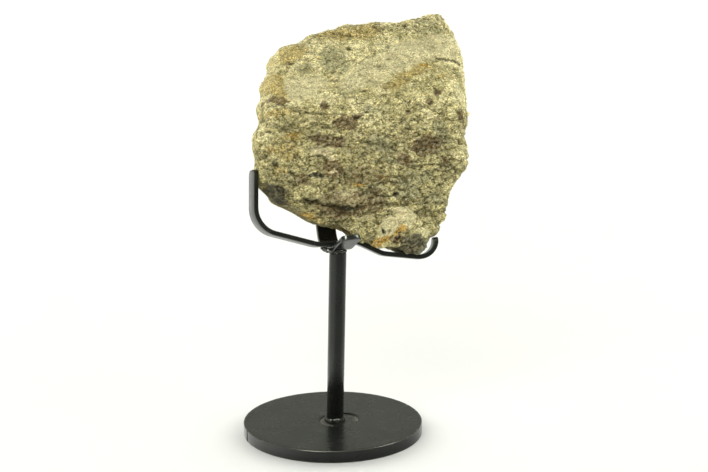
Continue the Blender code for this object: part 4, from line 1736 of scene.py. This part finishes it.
@dataclass
class FossilSlab:
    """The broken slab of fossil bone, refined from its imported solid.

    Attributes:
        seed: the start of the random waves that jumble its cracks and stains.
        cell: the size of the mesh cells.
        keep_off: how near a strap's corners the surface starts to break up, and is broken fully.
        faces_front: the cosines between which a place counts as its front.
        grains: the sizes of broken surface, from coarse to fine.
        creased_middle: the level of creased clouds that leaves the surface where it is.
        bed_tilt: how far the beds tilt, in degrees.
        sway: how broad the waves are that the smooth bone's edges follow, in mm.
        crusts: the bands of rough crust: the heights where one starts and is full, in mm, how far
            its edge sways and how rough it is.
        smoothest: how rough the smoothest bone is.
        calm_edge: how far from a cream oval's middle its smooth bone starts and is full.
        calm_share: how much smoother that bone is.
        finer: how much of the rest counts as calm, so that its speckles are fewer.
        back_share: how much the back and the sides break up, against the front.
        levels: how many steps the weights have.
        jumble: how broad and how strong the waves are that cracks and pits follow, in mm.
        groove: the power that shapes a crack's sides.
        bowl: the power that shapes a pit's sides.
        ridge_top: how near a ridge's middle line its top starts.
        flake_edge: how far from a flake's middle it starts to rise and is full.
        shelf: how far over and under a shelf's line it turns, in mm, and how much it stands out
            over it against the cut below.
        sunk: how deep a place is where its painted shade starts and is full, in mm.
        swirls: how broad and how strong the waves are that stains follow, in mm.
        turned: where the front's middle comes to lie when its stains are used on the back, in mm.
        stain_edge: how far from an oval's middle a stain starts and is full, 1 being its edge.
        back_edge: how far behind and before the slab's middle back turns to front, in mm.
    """

    seed: int = 5
    cell: float = 0.00072
    keep_off: Pair = (0.0012, 0.0040)
    faces_front: Pair = (0.05, 0.45)
    grains: tuple[Grain, ...] = (
        Grain(0.0085, 0.0024, "faced", True, 2.0),
        Grain(0.0034, 0.0014, "free", False, 4.0),
        Grain(0.0052, 0.0034, "broken", True, 1.8),
        Grain(0.0024, 0.0016, "broken", True, 1.4),
        Grain(0.0015, 0.0012, "broken"),
        Grain(0.0014, 0.0005, "free"),
    )
    creased_middle: float = 0.25
    bed_tilt: float = 4.0
    sway: float = 12.0
    crusts: tuple = ((88.0, 70.0, 7.0, 1.0), (112.0, 121.0, 4.0, 0.8))
    smoothest: float = 0.12
    calm_edge: Pair = (1.3, 0.6)
    calm_share: float = 0.7
    finer: float = 0.55
    back_share: float = 0.25
    levels: int = 20
    jumble: Pair = (2.2, 0.9)
    groove: float = 0.7
    bowl: float = 0.8
    ridge_top: float = 0.65
    flake_edge: Pair = (1.06, 0.88)
    shelf: Triple = (0.25, -0.35, 0.3)
    sunk: Pair = (0.35, 1.15)
    swirls: tuple = ((7.0, 2.4), (2.4, 1.0))
    turned: Triple = (34.0, 0.0, -6.0)
    stain_edge: Pair = (1.45, 0.45)
    back_edge: Pair = (6.0, -6.0)

    def build(self) -> Object:
        """Model the slab and return it."""
        noise.seed_set(self.seed)
        item = merged_copy("fossil", "fossil_slab")
        modify(item, "REMESH", mode="VOXEL", voxel_size=self.cell)
        modify(item, "SMOOTH", factor=0.5, iterations=7)
        low, high = (np.array(corner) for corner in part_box("fossil"))
        back = np.array(CRADLE.matrix().inverted())
        laid = (points_of(item.data) @ back[:3, :3].T + back[:3, 3]) / MM
        forward = -np.array(CRADLE.matrix())[:3, 1]
        front = ease(normals_of(item.data) @ forward, *self.faces_front)
        self._weigh(item, laid, front)
        for grain in self.grains:
            self._press_grain(item, grain)
        self._carve(item.data, laid, front, forward)
        put_points(item.data, np.clip(points_of(item.data), low, high))
        soften(item, 180.0)
        # masks of small and broad hollows and rises, for painted shade and painted highlights
        mark_relief(item, 3, 0.0005)
        mark_relief(item, 16, 0.0012, ("hollow", "raised"))
        self._stain(item.data, laid, front)
        return item

    def _weigh(self, item: Object, laid: np.ndarray, front: np.ndarray) -> None:
        """Weigh how freely and how roughly the mesh breaks up.

        It breaks up less near the straps, on smooth bone and on its back.

        Args:
            item: the slab.
            laid: its points in the cradle frame, in mm.
            front: how far each point faces the front, from 0 to 1.
        """
        straps = [bpy.data.objects[node].data for node in ("left_arm", "right_arm", "spine_strap")]
        corners = np.concatenate([points_of(mesh) for mesh in straps])
        tree = KDTree(len(corners))
        for index, corner in enumerate(corners):
            tree.insert(corner, index)
        tree.balance()
        near = np.array([tree.find(point)[2] for point in points_of(item.data)])
        free = ease(near, *self.keep_off)
        sway = np.array([noise.noise(Vector(point) / self.sway) for point in laid])
        rough = np.full(len(laid), self.smoothest)
        for start, full, reach, share in self.crusts:
            rough = np.maximum(rough, share * ease(laid[:, 2] + reach * sway, start, full))
        calm = oval_mask(laid, STAINS[Mineral.CREAM], *self.calm_edge)
        rough *= 1.0 - self.calm_share * calm
        keep_mask(item.data, "calm", np.clip(calm + self.finer * (1.0 - rough), 0.0, 1.0))
        faced = free * (self.back_share + (1.0 - self.back_share) * front)
        for name, values in (("free", free), ("faced", faced), ("broken", faced * rough)):
            group = item.vertex_groups.new(name=name)
            steps = np.round(values * self.levels).astype(int)
            for step in range(1, self.levels + 1):
                group.add(np.flatnonzero(steps == step).tolist(), step / self.levels, "REPLACE")

    def _press_grain(self, item: Object, grain: Grain) -> None:
        """Displace the surface by one procedural texture, drawn out along the beds.

        Args:
            item: the slab, with its vertex groups.
            grain: the size of broken surface.
        """
        texture = bpy.data.textures.new("grain", "CLOUDS")
        texture.noise_scale = grain.size
        texture.noise_depth = 2
        texture.noise_type = "HARD_NOISE" if grain.creased else "SOFT_NOISE"
        guide = bpy.data.objects.new("beds", None)
        bpy.context.scene.collection.objects.link(guide)
        stretch = Matrix.Diagonal((grain.flat, grain.flat, 1.0, 1.0))
        tilt = Matrix.Rotation(math.radians(self.bed_tilt), 4, "Y")
        guide.matrix_world = CRADLE.matrix() @ tilt @ stretch
        bpy.context.view_layer.update()
        modify(
            item, "DISPLACE", texture=texture, texture_coords="OBJECT",
            texture_coords_object=guide, strength=grain.height, vertex_group=grain.where,
            mid_level=self.creased_middle if grain.creased else 0.5,
        )
        bpy.data.objects.remove(guide)
        bpy.data.textures.remove(texture)

    def _carve(self, mesh: Mesh, laid: np.ndarray, front: np.ndarray, forward: np.ndarray) -> None:
        """Cut the named cracks, shelves, pits and flakes into the front, and mark sunk places for
        painted shade.

        Args:
            mesh: the slab's mesh.
            laid: its points in the cradle frame, in mm, as they were before it was broken up.
            front: how far each point faces the front, from 0 to 1.
            forward: the way to the front.
        """
        where = laid + waves_in_space(laid, *self.jumble)
        rise = np.zeros(len(laid))
        over, under, ledge = self.shelf
        for line in CRACKS:
            rise -= line.amount * near_line(where, line)[0] ** self.groove
        for line in RIDGES:
            rise += line.amount * ease(near_line(where, line)[0], 0.0, self.ridge_top)
        for line in SHELVES:
            near, above = near_line(where, line)
            drop = ledge * ease(above, -over, -under) - ease(above, over, under)
            rise += line.amount * near * drop
        for spot in PITS:
            bowl = np.clip(1.0 - in_oval(where, spot) ** 2, 0.0, 1.0) ** self.bowl
            rise -= spot.amount * bowl
        for spot in FLAKES:
            rise += spot.amount * ease(in_oval(where, spot), *self.flake_edge)
        # sunk places are darkened as painted shade
        keep_mask(mesh, "sunk", front * ease(-rise, *self.sunk))
        put_points(mesh, points_of(mesh) + forward * (rise * front * MM)[:, None])

    def _stain(self, mesh: Mesh, laid: np.ndarray, front: np.ndarray) -> None:
        """Store where each mineral lies, for the material to read.

        Args:
            mesh: the slab's mesh.
            laid: its points in the cradle frame, in mm.
            front: how far each point faces the front, from 0 to 1.
        """
        for broad, push in self.swirls:
            laid = laid + waves_in_space(laid, broad, push)
        seen = np.maximum(front, ease(laid[:, 1], *self.back_edge))
        behind = laid * (-1.0, 1.0, 1.0) + self.turned
        for mineral in Mineral:
            marks = (STAINS[mineral], *self.stain_edge)
            both = oval_mask(laid, *marks) * seen, oval_mask(behind, *marks) * (1.0 - seen)
            keep_mask(mesh, mineral.value, np.maximum(*both))


def waves_in_space(laid: np.ndarray, broad: float, push: float) -> np.ndarray:
    """Return a smooth random move for each point.

    Args:
        laid: the points.
        broad: how broad the waves are.
        push: how far they push.

    Returns:
        Rows of x, y and z.
    """
    return np.array([noise.noise_vector(Vector(point) / broad) for point in laid]) * push


def in_oval(laid: np.ndarray, spot: Spot) -> np.ndarray:
    """Measure points against an oval.

    Args:
        laid: points in the cradle frame, in mm.
        spot: the oval.

    Returns:
        How far each lies from its middle, 1 being its edge.
    """
    turn = math.radians(spot.turn)
    x, z = laid[:, 0] - spot.x, laid[:, 2] - spot.z
    along = x * math.cos(turn) + z * math.sin(turn)
    across = z * math.cos(turn) - x * math.sin(turn)
    return np.hypot(along / spot.wide, across / spot.tall)


def oval_mask(laid: np.ndarray, marks: Sequence[Spot], outer: float, inner: float) -> np.ndarray:
    """Return the strongest of several ovals at each point.

    Args:
        laid: points in the cradle frame, in mm.
        marks: the ovals.
        outer: where an oval starts, 1 being its edge.
        inner: where it is full.

    Returns:
        A value for each point.
    """
    masks = [spot.amount * ease(in_oval(laid, spot), outer, inner) for spot in marks]
    return np.maximum.reduce(masks)


def near_line(laid: np.ndarray, line: Line) -> tuple[np.ndarray, np.ndarray]:
    """Measure points against a crooked line.

    Args:
        laid: points in the cradle frame, in mm.
        line: the line.

    Returns:
        How near a point is, 1 on the line and 0 beyond its half-width, and its signed height
        above the line.
    """
    flat = laid[:, (0, 2)]
    best = np.full(len(laid), np.inf)
    above = np.zeros(len(laid))
    for start, end in zip(line.points, line.points[1:]):
        start, way = np.array(start), np.array(end) - np.array(start)
        offset = flat - start
        share = np.clip(offset @ way / (way @ way), 0.0, 1.0)
        far = np.hypot(*(offset - share[:, None] * way).T)
        side = (way[0] * offset[:, 1] - way[1] * offset[:, 0]) / math.hypot(*way)
        closer = far < best
        best[closer], above[closer] = far[closer], side[closer]
    return np.clip(1.0 - best / line.width, 0.0, 1.0), above


# ---------------------------------------------------------------- the studio


@dataclass(frozen=True)
class CameraRig:
    """A long lens at the front left, looking down a little.

    Attributes:
        place: where the camera is.
        round_angle: how far it stands round to the left, in degrees.
        down_angle: how far it looks down, in degrees.
        roll: its roll, in degrees.
        lens: focal length in mm, on a 36 mm sensor.
        clip: the nearest and farthest distance that it sees.
    """

    place: Triple = (-0.266026, -0.767784, 0.295291)
    round_angle: float = 20.0
    down_angle: float = 12.5722
    roll: float = 0.29983
    lens: float = 76.27
    clip: Pair = (0.05, 60.0)

    def build(self) -> None:
        """Set the camera up."""
        data = bpy.data.cameras.new("camera")
        data.lens = self.lens
        data.sensor_width = 36.0
        data.clip_start, data.clip_end = self.clip
        camera = bpy.data.objects.new("camera", data)
        turn = (
            Matrix.Rotation(math.radians(-self.round_angle), 4, "Z")
            @ Matrix.Rotation(math.radians(90.0 - self.down_angle), 4, "X")
            @ Matrix.Rotation(math.radians(-self.roll), 4, "Z")
        )
        camera.matrix_world = Matrix.Translation(self.place) @ turn
        bpy.context.scene.collection.objects.link(camera)
        bpy.context.scene.camera = camera


@dataclass(frozen=True)
class SoftBox:
    """A square soft light.

    Attributes:
        name: its name.
        place: where it hangs.
        size: the length of its side.
        power: its power in watts.
        aim: the point that it faces.
    """

    name: str
    place: Triple
    size: float
    power: float
    aim: Triple = (0.01, 0.0, 0.14)

    def build(self) -> None:
        """Hang the light."""
        data = bpy.data.lights.new(self.name, "AREA")
        data.shape = "SQUARE"
        data.size = self.size
        data.energy = self.power
        light = bpy.data.objects.new(self.name, data)
        light.location = self.place
        way = Vector(self.aim) - Vector(self.place)
        light.rotation_euler = way.to_track_quat("-Z", "Y").to_euler()
        bpy.context.scene.collection.objects.link(light)


class Glow(NamedTuple):
    """A bright place in the surroundings.

    It has the way to it, the cosines where it starts and is full, and how bright it is.
    """

    way: Triple
    start: float
    full: float
    bright: float


@dataclass
class Studio:
    """A white tent with soft lights, a pale floor and the camera.

    Attributes:
        boxes: the soft lights.
        open_side: how far round to the left the tent's open front is, in degrees.
        sides: the cosines to that way between which back turns to front.
        sky: the brightness of the white surroundings behind the stand and before it.
        glows: their brighter places.
        overhead: how much of that there is level with the stand and straight up.
        overhead_end: how steep a way up counts as straight up.
        mirrored_sky: their brightness behind and before the stand, as a polished face mirrors it.
        mirrored_glow: how much brighter that is on the left.
        lamps: small bright lamps that only polished faces show.
        first_mirror: the ray depth over which a lamp isn't mirrored once more.
        mirrored_tint: the colour of what polished faces mirror.
        floor_radius: the floor's radius.
    """

    boxes: tuple[SoftBox, ...] = (
        SoftBox("key_light", (-0.60, -0.80, 0.85), 0.35, 0.5),
        SoftBox("fill_light", (0.80, -0.60, 0.75), 0.30, 0.2),
    )
    open_side: float = 20.0
    sides: Pair = (-0.8, 0.8)
    sky: Pair = (6.9, 1.35)
    glows: tuple[Glow, ...] = (
        Glow((-0.480, -0.620, 0.620), 0.87, 0.93, 2.1),
        Glow((0.620, -0.480, 0.620), 0.90, 0.96, 0.5),
    )
    overhead: Pair = (1.0, 0.0)
    overhead_end: float = 0.85
    mirrored_sky: Pair = (0.36, 0.25)
    mirrored_glow: Glow = Glow((-0.9, 0.4, 0.1), 0.5, 0.95, 0.26)
    lamps: tuple[Glow, ...] = (
        Glow((-0.560, -0.520, 0.645), 0.965, 0.975, 26.0),
        Glow((0.700, -0.350, 0.620), 0.970, 0.980, 18.0),
        Glow((-0.120, -0.250, 0.960), 0.975, 0.985, 6.0),
    )
    first_mirror: float = 2.5
    mirrored_tint: Colour = (0.99, 1.05, 0.85, 1.0)
    floor_radius: float = 14.0

    def build(self) -> None:
        """Set up the floor, the lights, the surroundings and the camera."""
        bpy.ops.mesh.primitive_circle_add(
            vertices=96, radius=self.floor_radius, fill_type="NGON", location=(0, 0, -TINY)
        )
        floor = take("studio_floor")
        floor.data.materials.append(FloorFinish().material())
        for box in self.boxes:
            box.build()
        self._surround()
        CameraRig().build()
        scene = bpy.context.scene
        scene.view_settings.view_transform = "Standard"
        scene.view_settings.look = "None"
        LOG.info("studio with %d lights", len(self.boxes))

    def _surround(self) -> None:
        """Surround the scene with soft white that polished faces mirror only dimly."""
        world = bpy.data.worlds.new("tent")
        world.use_nodes = True
        wiring = Wiring(world.node_tree)
        way = wiring.add("TexCoord").outputs["Generated"]
        turn = math.radians(self.open_side)
        front = wiring.measure("DOT_PRODUCT", way, (-math.sin(turn), -math.cos(turn), 0.0))
        level = wiring.ease(front, *self.sides, *self.sky)
        least, most = self.overhead
        feeds = {
            "Value": wiring.part(way, 2), "From Max": self.overhead_end,
            "To Min": least, "To Max": most,
        }
        level = wiring.times(level, wiring.add("MapRange", feeds).outputs[0])
        for glow in self.glows:
            level = wiring.plus(level, self._spot(wiring, way, glow))
        path = wiring.add("LightPath").outputs
        once = wiring.math("LESS_THAN", path["Ray Depth"], self.first_mirror)
        dim = wiring.ease(front, *self.sides, *self.mirrored_sky)
        dim = wiring.plus(dim, self._spot(wiring, way, self.mirrored_glow))
        for lamp in self.lamps:
            dim = wiring.plus(dim, wiring.times(self._spot(wiring, way, lamp), once))
        mirrored = path["Is Glossy Ray"]
        dimmed = wiring.times(mirrored, wiring.minus(dim, level))
        white = (1.0, 1.0, 1.0, 1.0)
        background = world.node_tree.nodes["Background"].inputs
        wiring.feed(background["Strength"], wiring.plus(level, dimmed))
        wiring.feed(background["Color"], wiring.blend(mirrored, white, self.mirrored_tint))
        bpy.context.scene.world = world

    @staticmethod
    def _spot(wiring: Wiring, way: Socket, glow: Glow) -> Socket:
        """Return how much a glow adds in a direction.

        Args:
            wiring: the surroundings' wiring.
            way: the direction.
            glow: the bright place.

        Returns:
            Its brightness there.
        """
        facing = wiring.measure("DOT_PRODUCT", way, glow.way)
        return wiring.ease(facing, glow.start, glow.full, 0.0, glow.bright)


def main() -> None:
    """Build the stand, the fossil and the studio, and report each piece."""
    logging.basicConfig(level=logging.INFO, format="%(name)s: %(message)s")
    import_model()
    Studio().build()
    kit = GroupKit()
    steel = PaintFinish("satin_black_paint").material(kit)
    knob = PaintFinish(
        "glossy_weld", body=paint(22, 24, 21), drift=paint(40, 41, 37), rough=(0.08, 0.16),
        dusty=0.02, coat=0.5,
    )
    ring = PaintFinish("foot_weld_paint", specular=0.42, rough=(0.06, 0.10), dusty=0.02)
    dress(FootPlate().build(), "base_disc", steel)
    dress(Post().build(), "post", steel)
    dress(WeldRing().build(), "foot_weld", ring.material(kit))
    dress(WeldKnob().build(), "hub_weld", knob.material(kit))
    for bar in CradleStraps().bars():
        dress(bar.build(), bar.node, steel)
    dress(FossilSlab().build(), "fossil", StoneFinish().material(kit))


if __name__ == "__main__":
    main()
